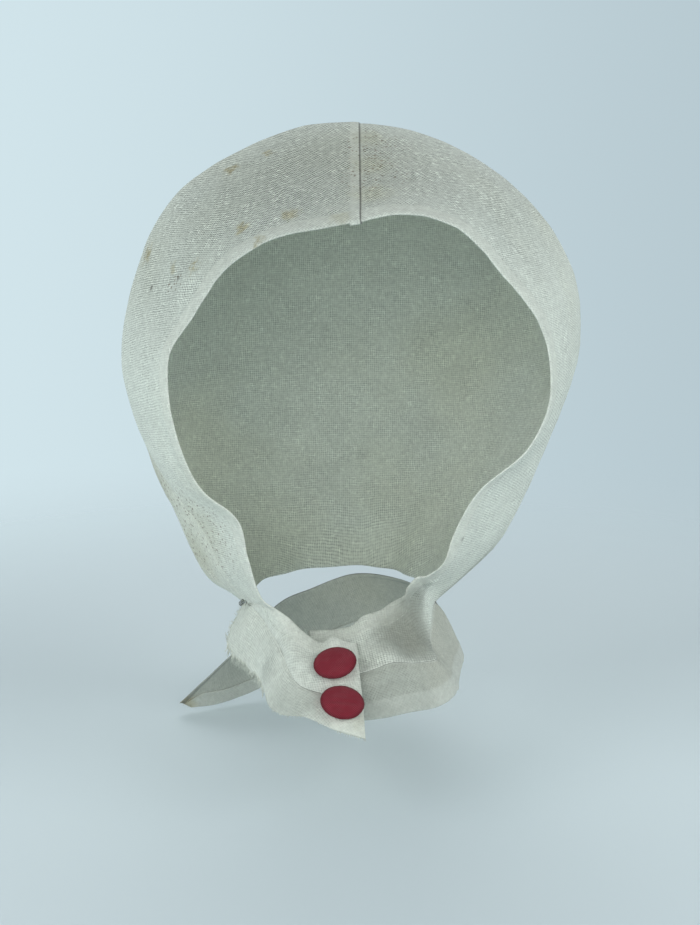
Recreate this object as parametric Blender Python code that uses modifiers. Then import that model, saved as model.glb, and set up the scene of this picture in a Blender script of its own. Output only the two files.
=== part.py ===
"""A thin linen nightcap hood with a buttoned collar, in the form it has when worn.

Metres, +Z up. The face opening looks along -Y and +X is to the viewer's right.
The origin is inside the top of the crown, where the cap sits on the head.
Left and right in names are the viewer's.
"""
import math
from collections import namedtuple

import bmesh
import bpy
from mathutils import Vector

# Driving sizes of the hood
HOOD_WIDTH = 0.246
HOOD_HEIGHT = 0.257
FACE_REACH = 0.088
HOOD_DEPTH = 0.122

# Driving sizes of the neck and its collar
NECK_WIDTH = 0.106
COLLAR_REACH = 0.110
COLLAR_HEIGHT = 0.040

# Cloth
WALL = 0.0010
HEM_WALL = 0.0018
SEAM_GAP = 0.0009
NAPE_FOLDS = 4
NAPE_FOLD_DEPTH = 0.0022
COLLAR_BULGE = 0.0014

# Buttons
BUTTON_WIDTH = 0.0224
BUTTON_HEIGHT = 0.0034
BUTTON_CLEARANCE = 0.0004
BUTTON_SIDES = 24

# How finely the curved cloth is cut into faces
STEPS_PER_ROW = 2
BAND_COLUMNS = 12
CROWN_COLUMNS = 16
COLLAR_COLUMNS = 5
SEAM_BLEND = 4

# Where a section bends towards the rim, as a share of its depth
RIM_BEND = 0.75

# How much a swelling in the cloth rises for each length that it stands out
SWELL_RISE = 0.6

# How many short lines stand for a curve while points are spaced along it
CURVE_SAMPLES = 60

# One row for each section of the hood, from the centre seam down to the neck.
# Across is a share of half the hood's width, down a share of its height, forward a share of
# FACE_REACH and back a share of HOOD_DEPTH. Seam is the place of the seam between band and
# crown: 0 is the face hem, 0.5 the hood's widest line (the rim) and 1 the back's centre line.
HoodRow = namedtuple("HoodRow", "hem_across hem_forward hem_down rim_across rim_back rim_down seam")
CENTRE = HoodRow(0.041, 1.00, 0.182, 0.041, 0.03, 0.000, 0.56)
HOOD_LEFT = [
    HoodRow(0.113, 0.99, 0.197, 0.212, 0.05, 0.008, 0.56),
    HoodRow(0.304, 0.94, 0.218, 0.540, 0.07, 0.071, 0.55),
    HoodRow(0.480, 0.86, 0.270, 0.792, 0.10, 0.162, 0.54),
    HoodRow(0.615, 0.80, 0.358, 0.946, 0.12, 0.309, 0.53),
    HoodRow(0.724, 0.77, 0.446, 1.012, 0.13, 0.469, 0.52),
    HoodRow(0.706, 0.75, 0.578, 0.975, 0.13, 0.598, 0.46),
    HoodRow(0.604, 0.73, 0.702, 0.884, 0.13, 0.724, 0.26),
    HoodRow(0.460, 0.73, 0.768, 0.745, 0.12, 0.882, 0.19),
    HoodRow(0.424, 0.69, 0.848, 0.630, 0.07, 0.972, 0.19),
    HoodRow(0.360, 0.65, 0.936, 0.492, -0.03, 1.004, 0.24),
]
HOOD_RIGHT = [
    HoodRow(0.205, 0.99, 0.171, 0.300, 0.05, 0.019, 0.56),
    HoodRow(0.404, 0.94, 0.197, 0.604, 0.07, 0.088, 0.55),
    HoodRow(0.590, 0.86, 0.282, 0.852, 0.10, 0.197, 0.54),
    HoodRow(0.745, 0.80, 0.375, 0.988, 0.12, 0.318, 0.52),
    HoodRow(0.800, 0.75, 0.495, 1.013, 0.13, 0.458, 0.50),
    HoodRow(0.720, 0.73, 0.622, 0.920, 0.12, 0.623, 0.44),
    HoodRow(0.524, 0.73, 0.708, 0.812, 0.08, 0.749, 0.40),
    HoodRow(0.430, 0.70, 0.798, 0.655, 0.05, 0.890, 0.38),
    HoodRow(0.390, 0.66, 0.858, 0.480, 0.02, 0.972, 0.40),
    HoodRow(0.325, 0.60, 0.890, 0.385, -0.01, 1.010, 0.45),
]

# The back's centre line, a row for each section: back as a share of HOOD_DEPTH, and down.
BackRow = namedtuple("BackRow", "back down")
BACK_CENTRE = [
    BackRow(0.70, 0.130),
    BackRow(0.82, 0.210),
    BackRow(0.91, 0.300),
    BackRow(0.97, 0.385),
    BackRow(1.00, 0.470),
    BackRow(0.985, 0.560),
    BackRow(0.945, 0.650),
    BackRow(0.88, 0.735),
    BackRow(0.80, 0.820),
    BackRow(0.73, 0.910),
    BackRow(0.675, 1.020),
]

# One row for each section of the neck, from the side of the neck round to the front closure.
# Across is a share of half the neck's width, forward a share of COLLAR_REACH, and drop the
# distance below the neck as a share of COLLAR_HEIGHT. Top is the hem against the neck, seam
# joins band and collar strip, foot is the strip's lower edge, and swell is how far the
# band stands out between its edges, as a share of COLLAR_HEIGHT.
NeckRow = namedtuple("NeckRow", "top_across top_forward top_drop seam_across seam_forward seam_drop "
                                "foot_across foot_forward foot_drop swell")
NECK_LEFT = [
    NeckRow(0.79, 0.52, -0.45, 1.07, 0.31, -0.24, 1.25, 0.27, 0.38, 0.03),
    NeckRow(0.72, 0.52, -0.30, 0.97, 0.38, -0.21, 1.19, 0.35, 0.45, 0.03),
    NeckRow(0.66, 0.53, -0.26, 0.86, 0.45, -0.10, 1.04, 0.45, 0.52, 0.04),
    NeckRow(0.59, 0.53, -0.19, 0.76, 0.54, 0.02, 0.86, 0.58, 0.65, 0.05),
    NeckRow(0.52, 0.54, -0.10, 0.66, 0.63, 0.15, 0.83, 0.65, 0.68, 0.05),
    NeckRow(0.45, 0.55, -0.02, 0.58, 0.72, 0.33, 0.77, 0.74, 0.78, 0.06),
    NeckRow(0.36, 0.55, 0.07, 0.48, 0.80, 0.43, 0.63, 0.85, 0.77, 0.05),
    NeckRow(0.27, 0.55, 0.11, 0.28, 0.85, 0.48, 0.41, 0.95, 0.69, 0.04),
    NeckRow(0.10, 0.55, 0.10, 0.07, 0.87, 0.51, 0.13, 1.04, 0.75, 0.03),
    NeckRow(-0.06, 0.55, 0.13, -0.12, 0.87, 0.55, -0.14, 1.08, 0.81, 0.03),
]
NECK_RIGHT = [
    NeckRow(0.72, 0.49, -0.79, 0.90, 0.09, 0.04, 1.21, -0.03, 0.87, 0.00),
    NeckRow(0.64, 0.47, -0.67, 0.83, 0.25, 0.09, 1.18, 0.14, 0.79, -0.04),
    NeckRow(0.57, 0.45, -0.54, 0.80, 0.38, 0.19, 1.12, 0.31, 0.76, -0.08),
    NeckRow(0.53, 0.45, -0.42, 0.81, 0.47, 0.28, 1.08, 0.44, 0.79, -0.10),
    NeckRow(0.43, 0.44, -0.34, 0.85, 0.55, 0.32, 1.05, 0.55, 0.79, -0.10),
    NeckRow(0.31, 0.43, -0.22, 0.67, 0.64, 0.29, 0.86, 0.72, 0.80, -0.06),
    NeckRow(0.12, 0.41, -0.10, 0.39, 0.69, 0.25, 0.54, 0.82, 0.78, -0.02),
    NeckRow(0.03, 0.40, 0.02, 0.21, 0.71, 0.32, 0.33, 0.85, 0.81, -0.01),
    NeckRow(-0.12, 0.40, 0.08, -0.02, 0.72, 0.40, 0.00, 0.86, 0.85, 0.00),
    NeckRow(-0.42, 0.41, 0.10, -0.32, 0.72, 0.51, -0.30, 0.85, 0.89, 0.00),
]

# The long strip's sections round the back of the neck and along its loose end.
# Across is a share of half the neck's width (right is +), back a share of HOOD_DEPTH.
StripRow = namedtuple("StripRow", "top_across top_back top_drop foot_across foot_back foot_drop")
STRIP_BACK = [
    StripRow(0.89, 0.14, 0.19, 1.17, 0.17, 0.92),
    StripRow(0.61, 0.46, 0.15, 0.75, 0.60, 1.05),
    StripRow(0.02, 0.64, 0.22, 0.02, 0.76, 1.35),
    StripRow(-0.45, 0.64, 0.45, -0.55, 0.74, 1.70),
    StripRow(-0.83, 0.56, 0.62, -1.02, 0.64, 2.05),
    StripRow(-1.28, 0.46, 1.22, -1.48, 0.53, 2.19),
    StripRow(-1.95, 0.42, 2.06, -1.82, 0.45, 2.18),
]

# The buttons: how far along the closure, how far down it, and the lean of the face, in degrees.
ButtonRow = namedtuple("ButtonRow", "name row_of_neck share_down lean")
BUTTONS = [
    ButtonRow("button_upper", 7.75, 0.51, -8.0),
    ButtonRow("button_lower", 8.05, 1.30, 8.0),
]
BUTTON_FACE_UP = 65.0

# The outline of half a button: across as a share of its radius, up as a share of its height
BUTTON_OUTLINE = [(0.0, 1.00), (0.40, 0.96), (0.72, 0.85), (0.92, 0.67), (1.0, 0.46),
                  (0.93, 0.23), (0.76, 0.07), (0.50, 0.0), (0.0, 0.0)]

# Colours as linear red, green and blue
LINEN = (0.56, 0.62, 0.55, 1.0)
LINEN_INSIDE = (0.46, 0.50, 0.44, 1.0)
RED_CLOTH = (0.26, 0.035, 0.045, 1.0)


def clear_scene():
    for item in list(bpy.data.objects):
        bpy.data.objects.remove(item, do_unlink=True)


def make_material(name, colour, roughness):
    material = bpy.data.materials.new(name)
    material.use_nodes = True
    shader = material.node_tree.nodes["Principled BSDF"]
    shader.inputs["Base Color"].default_value = colour
    shader.inputs["Roughness"].default_value = roughness
    return material


# Curves and sections

def resample(points, count):
    """Places count + 1 points at equal distances along a polyline."""
    lengths = [0.0]
    for before, after in zip(points, points[1:]):
        lengths.append(lengths[-1] + (after - before).length)
    result = []
    index = 0
    for step in range(count + 1):
        wanted = lengths[-1] * step / count
        while index < len(points) - 2 and lengths[index + 1] < wanted:
            index += 1
        span = lengths[index + 1] - lengths[index]
        share = (wanted - lengths[index]) / span if span > 0.0 else 0.0
        result.append(points[index].lerp(points[index + 1], min(share, 1.0)))
    return result


def smooth_between(sections, steps):
    """Runs a smooth curve through each column of a list of sections, with extra rows between."""
    middle = len(sections[0]) // 2
    knots = [0.0]
    for before, after in zip(sections, sections[1:]):
        knots.append(knots[-1] + max((after[middle] - before[middle]).length, WALL))
    last = len(sections) - 1

    def slope(row, column):
        low = max(row - 1, 0)
        high = min(row + 1, last)
        if low == row or high == row:
            return (sections[high][column] - sections[low][column]) / (knots[high] - knots[low])
        before = (sections[row][column] - sections[low][column]) / (knots[row] - knots[low])
        after = (sections[high][column] - sections[row][column]) / (knots[high] - knots[row])
        weight = (knots[row] - knots[low]) / (knots[high] - knots[low])
        return before.lerp(after, weight)

    rows = []
    for row in range(last):
        span = knots[row + 1] - knots[row]
        for step in range(steps):
            u = step / steps
            line = []
            for column in range(len(sections[0])):
                a = sections[row][column]
                b = sections[row + 1][column]
                pull_a = slope(row, column) * span
                pull_b = slope(row + 1, column) * span
                line.append(a * (2 * u ** 3 - 3 * u ** 2 + 1) + pull_a * (u ** 3 - 2 * u ** 2 + u)
                            + b * (3 * u ** 2 - 2 * u ** 3) + pull_b * (u ** 3 - u ** 2))
            rows.append(line)
    rows.append(list(sections[last]))
    return rows


def hood_curve(row, back, side):
    """Returns the section of the hood as a function: 0 face hem, 0.5 rim, 1 back centre."""
    half = HOOD_WIDTH / 2.0
    middle = CENTRE.hem_across * half
    hem = Vector((side * row.hem_across * half, -row.hem_forward * FACE_REACH,
                  -row.hem_down * HOOD_HEIGHT))
    rim = Vector((side * row.rim_across * half, row.rim_back * HOOD_DEPTH,
                  -row.rim_down * HOOD_HEIGHT))
    end = Vector((middle, back.back * HOOD_DEPTH, -back.down * HOOD_HEIGHT))
    bend = hem.lerp(rim, RIM_BEND)
    bend.x = rim.x

    def point(place):
        if place <= 0.5:
            u = place * 2.0
            return hem * (1 - u) ** 2 + bend * (2 * u * (1 - u)) + rim * u ** 2
        angle = (place - 0.5) * math.pi
        return Vector((end.x + (rim.x - end.x) * math.cos(angle),
                       rim.y + (end.y - rim.y) * math.sin(angle),
                       rim.z + (end.z - rim.z) * math.sin(angle) ** 2))
    return point


def curve_points(curve, start, stop, count):
    fine = [curve(start + (stop - start) * step / CURVE_SAMPLES) for step in range(CURVE_SAMPLES + 1)]
    return resample(fine, count)


def outward(point):
    """The level direction away from the middle of the neck."""
    return Vector((point.x, point.y, 0.0)).normalized()


def bowed(start, stop, height, count):
    """A shallow arc from start to stop that stands out by height."""
    middle = (start + stop) / 2.0
    away = outward(middle) + Vector((0.0, 0.0, SWELL_RISE))
    bend = middle + away.normalized() * (2.0 * height)
    fine = []
    for step in range(CURVE_SAMPLES + 1):
        u = step / CURVE_SAMPLES
        fine.append(start * (1 - u) ** 2 + bend * (2 * u * (1 - u)) + stop * u ** 2)
    return resample(fine, count)


def neck_point(across, forward, drop, side):
    return Vector((side * across * NECK_WIDTH / 2.0, -forward * COLLAR_REACH,
                   -HOOD_HEIGHT - drop * COLLAR_HEIGHT))


def neck_corners(row, side):
    return (neck_point(row.top_across, row.top_forward, row.top_drop, side),
            neck_point(row.seam_across, row.seam_forward, row.seam_drop, side),
            neck_point(row.foot_across, row.foot_forward, row.foot_drop, side))


def hood_rows(table, side):
    """The hood's sections from the centre row down one side."""
    rows = [CENTRE] + table
    curves = []
    for number, row in enumerate(rows):
        turn = 1.0 if number == 0 else side
        curves.append((hood_curve(row, BACK_CENTRE[number], turn), row.seam))
    return curves


def band_sections(table, neck, side):
    sections = [curve_points(curve, 0.0, seam, BAND_COLUMNS) for curve, seam in hood_rows(table, side)]
    for row in neck[1:]:
        top, seam, foot = neck_corners(row, side)
        sections.append(bowed(top, seam, row.swell * COLLAR_HEIGHT, BAND_COLUMNS))
    return sections


def crown_sections(table, side):
    return [curve_points(curve, seam, 1.0, CROWN_COLUMNS) for curve, seam in hood_rows(table, side)]


def collar_sections(neck, table, side):
    """The strip's sections: its top is the band's seam."""
    curve, seam_place = hood_rows(table, side)[-1]
    sections = []
    for number, row in enumerate(neck):
        top, seam, foot = neck_corners(row, side)
        if number == 0:
            seam = curve(seam_place)
        sections.append(bowed(seam, foot, COLLAR_BULGE, COLLAR_COLUMNS))
    return sections


def strip_back_sections():
    half = NECK_WIDTH / 2.0
    sections = []
    for row in STRIP_BACK:
        top = Vector((row.top_across * half, row.top_back * HOOD_DEPTH,
                      -HOOD_HEIGHT - row.top_drop * COLLAR_HEIGHT))
        foot = Vector((row.foot_across * half, row.foot_back * HOOD_DEPTH,
                       -HOOD_HEIGHT - row.foot_drop * COLLAR_HEIGHT))
        sections.append(bowed(top, foot, COLLAR_BULGE, COLLAR_COLUMNS))
    return sections


# Grids of points

def pull_in(rows, edge, distance):
    """Draws one edge of a grid back from the seam by a distance."""
    if edge in ("first", "last"):
        outer, inner = (rows[0], rows[1]) if edge == "first" else (rows[-1], rows[-2])
        for column, point in enumerate(outer):
            outer[column] = point + (inner[column] - point).normalized() * distance
        return
    outer, inner = (0, 1) if edge == "start" else (-1, -2)
    for row in rows:
        row[outer] = row[outer] + (row[inner] - row[outer]).normalized() * distance


def fold_nape(rows):
    """Lets the crown's fullness fall in soft folds towards the neck."""
    count = len(rows) - 1
    half = count // 2
    for number, row in enumerate(rows):
        down = abs(number - half) / half
        fade = max(0.0, (down - 0.5) / 0.5) ** 1.5
        last = len(row) - 1
        for column in range(1, last + 1):
            share = column / last
            wave = 0.5 - 0.5 * math.cos(2.0 * math.pi * NAPE_FOLDS * share)
            depth = NAPE_FOLD_DEPTH * wave * fade * min(share * 4.0, 1.0)
            row[column] = row[column] - outward(row[column]) * depth


def follow(rows, edge_points):
    """Moves a grid's first column onto a given edge, and the next columns part of the way."""
    for row, wanted in zip(rows, edge_points):
        shift = wanted - row[0]
        for column in range(len(row)):
            row[column] = row[column] + shift * max(0.0, 1.0 - column / SEAM_BLEND)


def band_rows():
    """Both bands as one grid, from the left end over the head to the right end."""
    left = band_sections(HOOD_LEFT, NECK_LEFT, -1.0)
    right = band_sections(HOOD_RIGHT, NECK_RIGHT, 1.0)
    return smooth_between(list(reversed(left)) + right[1:], STEPS_PER_ROW)


def crown_grid(seam):
    """The crown from the left side of the neck over the head to the right side."""
    sections = list(reversed(crown_sections(HOOD_LEFT, -1.0))) + crown_sections(HOOD_RIGHT, 1.0)[1:]
    rows = smooth_between(sections, STEPS_PER_ROW)
    fold_nape(rows)
    follow(rows, seam)
    pull_in(rows, "start", SEAM_GAP / 2.0)
    count = len(rows) - 1
    for number in range(count // 2):
        both = (rows[number][-1] + rows[count - number][-1]) / 2.0
        rows[number][-1] = both
        rows[count - number][-1] = both.copy()
    return rows


def band_grids(rows):
    """Parts the two bands at the centre seam."""
    middle = (len(NECK_LEFT) - 1 + len(HOOD_LEFT)) * STEPS_PER_ROW
    left = [list(row) for row in rows[:middle + 1]]
    right = [list(row) for row in rows[middle:]]
    for grid in (left, right):
        pull_in(grid, "end", SEAM_GAP / 2.0)
    pull_in(left, "last", SEAM_GAP / 2.0)
    pull_in(right, "first", SEAM_GAP / 2.0)
    return left, right


def short_strip_grid(seam):
    """The left strip, from its raw end at the side of the neck to the front."""
    rows = smooth_between(collar_sections(NECK_LEFT, HOOD_LEFT, -1.0), STEPS_PER_ROW)
    follow(rows, seam)
    pull_in(rows, "start", SEAM_GAP / 2.0)
    return rows


def long_strip_grid(seam):
    """The right strip, from the front round the back of the neck to its loose end."""
    front = collar_sections(NECK_RIGHT, HOOD_RIGHT, 1.0)
    rows = smooth_between(list(reversed(front)) + strip_back_sections(), STEPS_PER_ROW)
    follow(rows, seam)
    pull_in(rows, "start", SEAM_GAP / 2.0)
    return rows


# Solids

def make_cloth(name, rows, material, collection, hem_columns=0, closed_back=False):
    """Makes a thin wall from a grid of points, inwards from its outer face."""
    mesh = bpy.data.meshes.new(name)
    shape = bmesh.new()
    down = len(rows) - 1
    across = len(rows[0]) - 1
    bmesh.ops.create_grid(shape, x_segments=across, y_segments=down, size=0.5)
    thick = shape.verts.layers.deform.verify()
    for vert in shape.verts:
        column = round((vert.co.x + 0.5) * across)
        row = round((vert.co.y + 0.5) * down)
        vert.co = rows[row][column]
        vert[thick][0] = 1.0 if column < hem_columns else 0.0
    if closed_back:
        bmesh.ops.remove_doubles(shape, verts=shape.verts, dist=0.00001)
    bmesh.ops.recalc_face_normals(shape, faces=shape.faces)
    lean = sum((face.normal.dot(outward(face.calc_center_median())) * face.calc_area()
                for face in shape.faces), 0.0)
    if lean < 0.0:
        bmesh.ops.reverse_faces(shape, faces=shape.faces)
    shape.to_mesh(mesh)
    shape.free()
    mesh.materials.append(material)
    cloth = bpy.data.objects.new(name, mesh)
    cloth.vertex_groups.new(name="hem")
    collection.objects.link(cloth)
    wall = cloth.modifiers.new("wall", "SOLIDIFY")
    wall.offset = -1.0
    wall.use_even_offset = True
    wall.thickness = HEM_WALL if hem_columns else WALL
    if hem_columns:
        wall.vertex_group = "hem"
        wall.thickness_vertex_group = WALL / HEM_WALL
    return cloth


def make_button(row, place, direction, material, collection):
    """Makes a domed round button whose back lies at place, facing along direction."""
    radius = BUTTON_WIDTH / 2.0
    mesh = bpy.data.meshes.new(row.name)
    shape = bmesh.new()
    verts = [shape.verts.new((across * radius, 0.0, up * BUTTON_HEIGHT)) for across, up in BUTTON_OUTLINE]
    for before, after in zip(verts, verts[1:]):
        shape.edges.new((before, after))
    shape.to_mesh(mesh)
    shape.free()
    mesh.materials.append(material)
    button = bpy.data.objects.new(row.name, mesh)
    collection.objects.link(button)
    turn = button.modifiers.new("turn", "SCREW")
    turn.steps = BUTTON_SIDES
    turn.render_steps = BUTTON_SIDES
    turn.use_merge_vertices = True
    turn.merge_threshold = 0.00001
    button.location = place
    button.rotation_mode = "QUATERNION"
    button.rotation_quaternion = direction.to_track_quat("Z", "Y")
    return button


def button_seat(row, left_band, short_strip):
    """Finds where a button's back lies on the closure and the direction that it faces."""
    up = math.radians(BUTTON_FACE_UP)
    lean = math.radians(row.lean)
    direction = Vector((math.sin(lean) * math.sin(up), -math.cos(up), math.cos(lean) * math.sin(up)))
    direction.normalize()
    grid = list(reversed(left_band)) if row.share_down <= 1.0 else short_strip
    down = row.share_down if row.share_down <= 1.0 else row.share_down - 1.0
    first = row.row_of_neck if grid is short_strip else row.row_of_neck + len(HOOD_LEFT)
    line = first * STEPS_PER_ROW
    place = down * (len(grid[0]) - 1)
    low, column = int(line), int(place)
    before = grid[low][column].lerp(grid[low][column + 1], place - column)
    after = grid[low + 1][column].lerp(grid[low + 1][column + 1], place - column)
    seat = before.lerp(after, line - low)

    rise = 0.0
    for cloth in (left_band, short_strip):
        for cloth_line in cloth:
            for point in cloth_line:
                offset = point - seat
                height = offset.dot(direction)
                if (offset - direction * height).length < BUTTON_WIDTH / 2.0:
                    rise = max(rise, height)
    return seat + direction * (rise + BUTTON_CLEARANCE), direction


def build():
    clear_scene()
    collection = bpy.data.collections.new("nightcap")
    bpy.context.scene.collection.children.link(collection)
    origin = bpy.data.objects.new("head_seat", None)
    collection.objects.link(origin)

    linen = make_material("linen", LINEN, 0.9)
    crown_linen = make_material("crown_linen", LINEN_INSIDE, 0.9)
    red = make_material("red_button_cloth", RED_CLOTH, 0.8)

    rows = band_rows()
    seam = [row[-1] for row in rows]
    left_neck = (len(NECK_LEFT) - 1) * STEPS_PER_ROW
    right_neck = left_neck + 2 * len(HOOD_LEFT) * STEPS_PER_ROW
    crown = crown_grid(seam[left_neck:right_neck + 1])
    short = short_strip_grid(list(reversed(seam[:left_neck + 1])))
    long = long_strip_grid(list(reversed(seam[right_neck:])))
    left, right = band_grids(rows)
    parts = [
        make_cloth("band_left", left, linen, collection, hem_columns=2),
        make_cloth("band_right", right, linen, collection, hem_columns=2),
        make_cloth("crown", crown, crown_linen, collection, closed_back=True),
        make_cloth("collar_short", short, linen, collection),
        make_cloth("collar_long", long, crown_linen, collection),
    ]
    for row in BUTTONS:
        place, direction = button_seat(row, left, short)
        parts.append(make_button(row, place, direction, red, collection))
    for part in parts:
        part.parent = origin


build()
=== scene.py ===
"""A thin linen nightcap hood with a buttoned collar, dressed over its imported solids."""

import bisect
import math
import random
from collections import namedtuple

import bmesh
import bpy
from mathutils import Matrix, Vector, noise


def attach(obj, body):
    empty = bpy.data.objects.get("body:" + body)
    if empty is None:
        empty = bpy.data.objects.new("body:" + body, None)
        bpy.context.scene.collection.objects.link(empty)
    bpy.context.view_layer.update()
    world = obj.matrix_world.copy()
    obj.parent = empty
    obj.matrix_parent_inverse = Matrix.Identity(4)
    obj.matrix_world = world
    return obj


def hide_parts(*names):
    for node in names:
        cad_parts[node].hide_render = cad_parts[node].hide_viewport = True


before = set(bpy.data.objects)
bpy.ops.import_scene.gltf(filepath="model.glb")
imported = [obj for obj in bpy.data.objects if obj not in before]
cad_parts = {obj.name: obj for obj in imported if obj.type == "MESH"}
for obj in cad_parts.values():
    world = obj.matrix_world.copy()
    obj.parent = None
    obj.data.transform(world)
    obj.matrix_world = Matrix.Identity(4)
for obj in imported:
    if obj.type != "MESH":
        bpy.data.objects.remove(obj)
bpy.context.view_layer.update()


def table(kind, rows):
    """Reads a short table: each row becomes one record with named values."""
    return [kind(*row) for row in rows]


# Sizes of the hood, its neck and collar, in metres, and shares for how its curves bend
HOOD_WIDTH = 0.246
HOOD_HEIGHT = 0.257
FACE_REACH = 0.088
HOOD_DEPTH = 0.122
NECK_WIDTH = 0.106
COLLAR_REACH = 0.110
COLLAR_HEIGHT = 0.040
COLLAR_BULGE = 0.0014
RIM_BEND = 0.75
SWELL_RISE = 0.6
CURVE_SAMPLES = 160

# Cloth: its own thickness, the space between turned layers, and the widths turned under
CLOTH = 0.00045
LAYER_GAP = 0.0009
HEM_WIDTH = 0.0105
SEAM_TURN = 0.0055
FACING_WIDTH = 0.0190
SEAM_ROLL = 0.0004
SEAM_DEPTH = 0.0010
LAP_DEPTH = 0.0006
SEAM_SPACE = 0.0001
CALM_WIDTH = 0.010
LAP_WIDTH = 0.0040
LAP_COLUMNS = 4
HEM_COLUMNS = 8
FOOT_TURN = 0.0100
RAISE_BY = 0.00025
NAPE_FOLDS = 4
NAPE_FOLD_DEPTH = 0.0022

# How closely the cloth's waves, crumples and sharp creases follow each other, and their heights
WAVE_SCALE = 24.0
WAVE_HEIGHT = 0.0009
CRUMPLE_SCALE = 95.0
CRUMPLE_HEIGHT = 0.00022
CREASE_SCALE = 38.0
CREASE_HEIGHT = 0.00035

# How cloth goes round an edge: angles in degrees, and how far the next columns sink at a seam
FOLD_ANGLES = (-60, -30, 0, 30, 60)
ROLL_ANGLES = (0, 22, 45, 68)
SUNK_SHARES = (0.95, 0.55, 0.15)
TURN_LIMIT = 0.4

# The ball that the crown's cloth is laid out from, and the angle of the band's threads
BACK_HEART = Vector((0.005, 0.0, -0.13))
BACK_RADIUS = 0.12
BIAS = 45.0

# Threads and stitches
THREAD = 0.00017
STITCH = 0.00010
STITCH_LENGTH = 0.0019
STITCH_STEP = 0.0034
STITCH_RISE = 0.6
STITCH_SHARE = 0.86
FRINGE_STEP = 0.00045
FRINGE_ROOT = 0.0006
STRAND_BEND = 0.55
STRAND_DROP = -0.45
STRAND_RISE = 0.1
STRAND_SWAY = 0.25
RAGGED = 0.0022
RAGGED_FINE = 900.0
RAGGED_BROAD = 260.0
THREAD_SIDES = 4
KNOT_REACH = 0.0022
KNOT_STEPS = 7

# Buttons: their outline gives across as a share of half the width, and up as a share of the height
BUTTON_WIDTH = 0.0224
BUTTON_HEIGHT = 0.0034
BUTTON_OUTLINE = [(0.0, 1.00), (0.40, 0.96), (0.72, 0.85), (0.92, 0.67), (1.0, 0.46),
                  (0.93, 0.23), (0.76, 0.07), (0.50, 0.0), (0.0, 0.0)]
BUTTON_SIDES = 96
BUTTON_ROWS = 44
BUTTON_SMOOTHINGS = 2
BUTTON_UNEVEN = 0.012
BUTTON_GATHERS = 23
GATHER_DEPTH = 0.004
FLAT_BELOW = 0.4
TWILL_PITCH = 0.0011
BUTTON_RED = (0.168, 0.013, 0.024, 1.0)
BUTTON_DOTS = (0.34, 0.15, 0.17, 1.0)

# How finely the cloth is cut, and how near to each other points are made one
STEPS_PER_ROW = 12
BAND_COLUMNS = 60
CROWN_COLUMNS = 70
COLLAR_COLUMNS = 22
SEAM_BLEND_SHARE = 0.3
TINY = 0.0000001
MERGE = 0.000001
THREAD_MERGE = 0.0000005

# One row for each section of the hood, from the centre seam down to the neck.
# Across is a share of half the hood's width, down a share of its height, forward a share of
# FACE_REACH and back a share of HOOD_DEPTH. Seam is the place of the seam between band and
# crown: 0 is the face hem, 0.5 the hood's widest line (the rim) and 1 the back's centre line.
HoodRow = namedtuple("HoodRow", "hem_across hem_forward hem_down rim_across rim_back rim_down seam")
CENTRE = HoodRow(0.041, 1.00, 0.182, 0.041, 0.03, 0.000, 0.56)
HOOD_LEFT = table(HoodRow, [
    (0.113, 0.99, 0.197, 0.212, 0.05, 0.008, 0.56),
    (0.304, 0.94, 0.218, 0.540, 0.07, 0.071, 0.55),
    (0.480, 0.86, 0.270, 0.792, 0.10, 0.162, 0.54),
    (0.615, 0.80, 0.358, 0.946, 0.12, 0.309, 0.53),
    (0.724, 0.77, 0.446, 1.012, 0.13, 0.469, 0.52),
    (0.706, 0.75, 0.578, 0.975, 0.13, 0.598, 0.46),
    (0.604, 0.73, 0.702, 0.884, 0.13, 0.724, 0.26),
    (0.460, 0.73, 0.768, 0.745, 0.12, 0.882, 0.19),
    (0.424, 0.69, 0.848, 0.630, 0.07, 0.972, 0.19),
    (0.360, 0.65, 0.936, 0.492, -0.03, 1.004, 0.24),
])
HOOD_RIGHT = table(HoodRow, [
    (0.205, 0.99, 0.171, 0.300, 0.05, 0.019, 0.56),
    (0.404, 0.94, 0.197, 0.604, 0.07, 0.088, 0.55),
    (0.590, 0.86, 0.282, 0.852, 0.10, 0.197, 0.54),
    (0.745, 0.80, 0.375, 0.988, 0.12, 0.318, 0.52),
    (0.800, 0.75, 0.495, 1.013, 0.13, 0.458, 0.50),
    (0.720, 0.73, 0.622, 0.920, 0.12, 0.623, 0.44),
    (0.524, 0.73, 0.708, 0.812, 0.08, 0.749, 0.40),
    (0.430, 0.70, 0.798, 0.655, 0.05, 0.890, 0.38),
    (0.390, 0.66, 0.858, 0.480, 0.02, 0.972, 0.40),
    (0.325, 0.60, 0.890, 0.385, -0.01, 1.010, 0.45),
])

# The back's centre line, a row for each section: back as a share of HOOD_DEPTH, and down.
BackRow = namedtuple("BackRow", "back down")
BACK_CENTRE = table(BackRow, [
    (0.70, 0.130), (0.82, 0.210), (0.91, 0.300), (0.97, 0.385),
    (1.00, 0.470), (0.985, 0.560), (0.945, 0.650), (0.88, 0.735),
    (0.80, 0.820), (0.73, 0.910), (0.675, 1.020),
])

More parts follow.
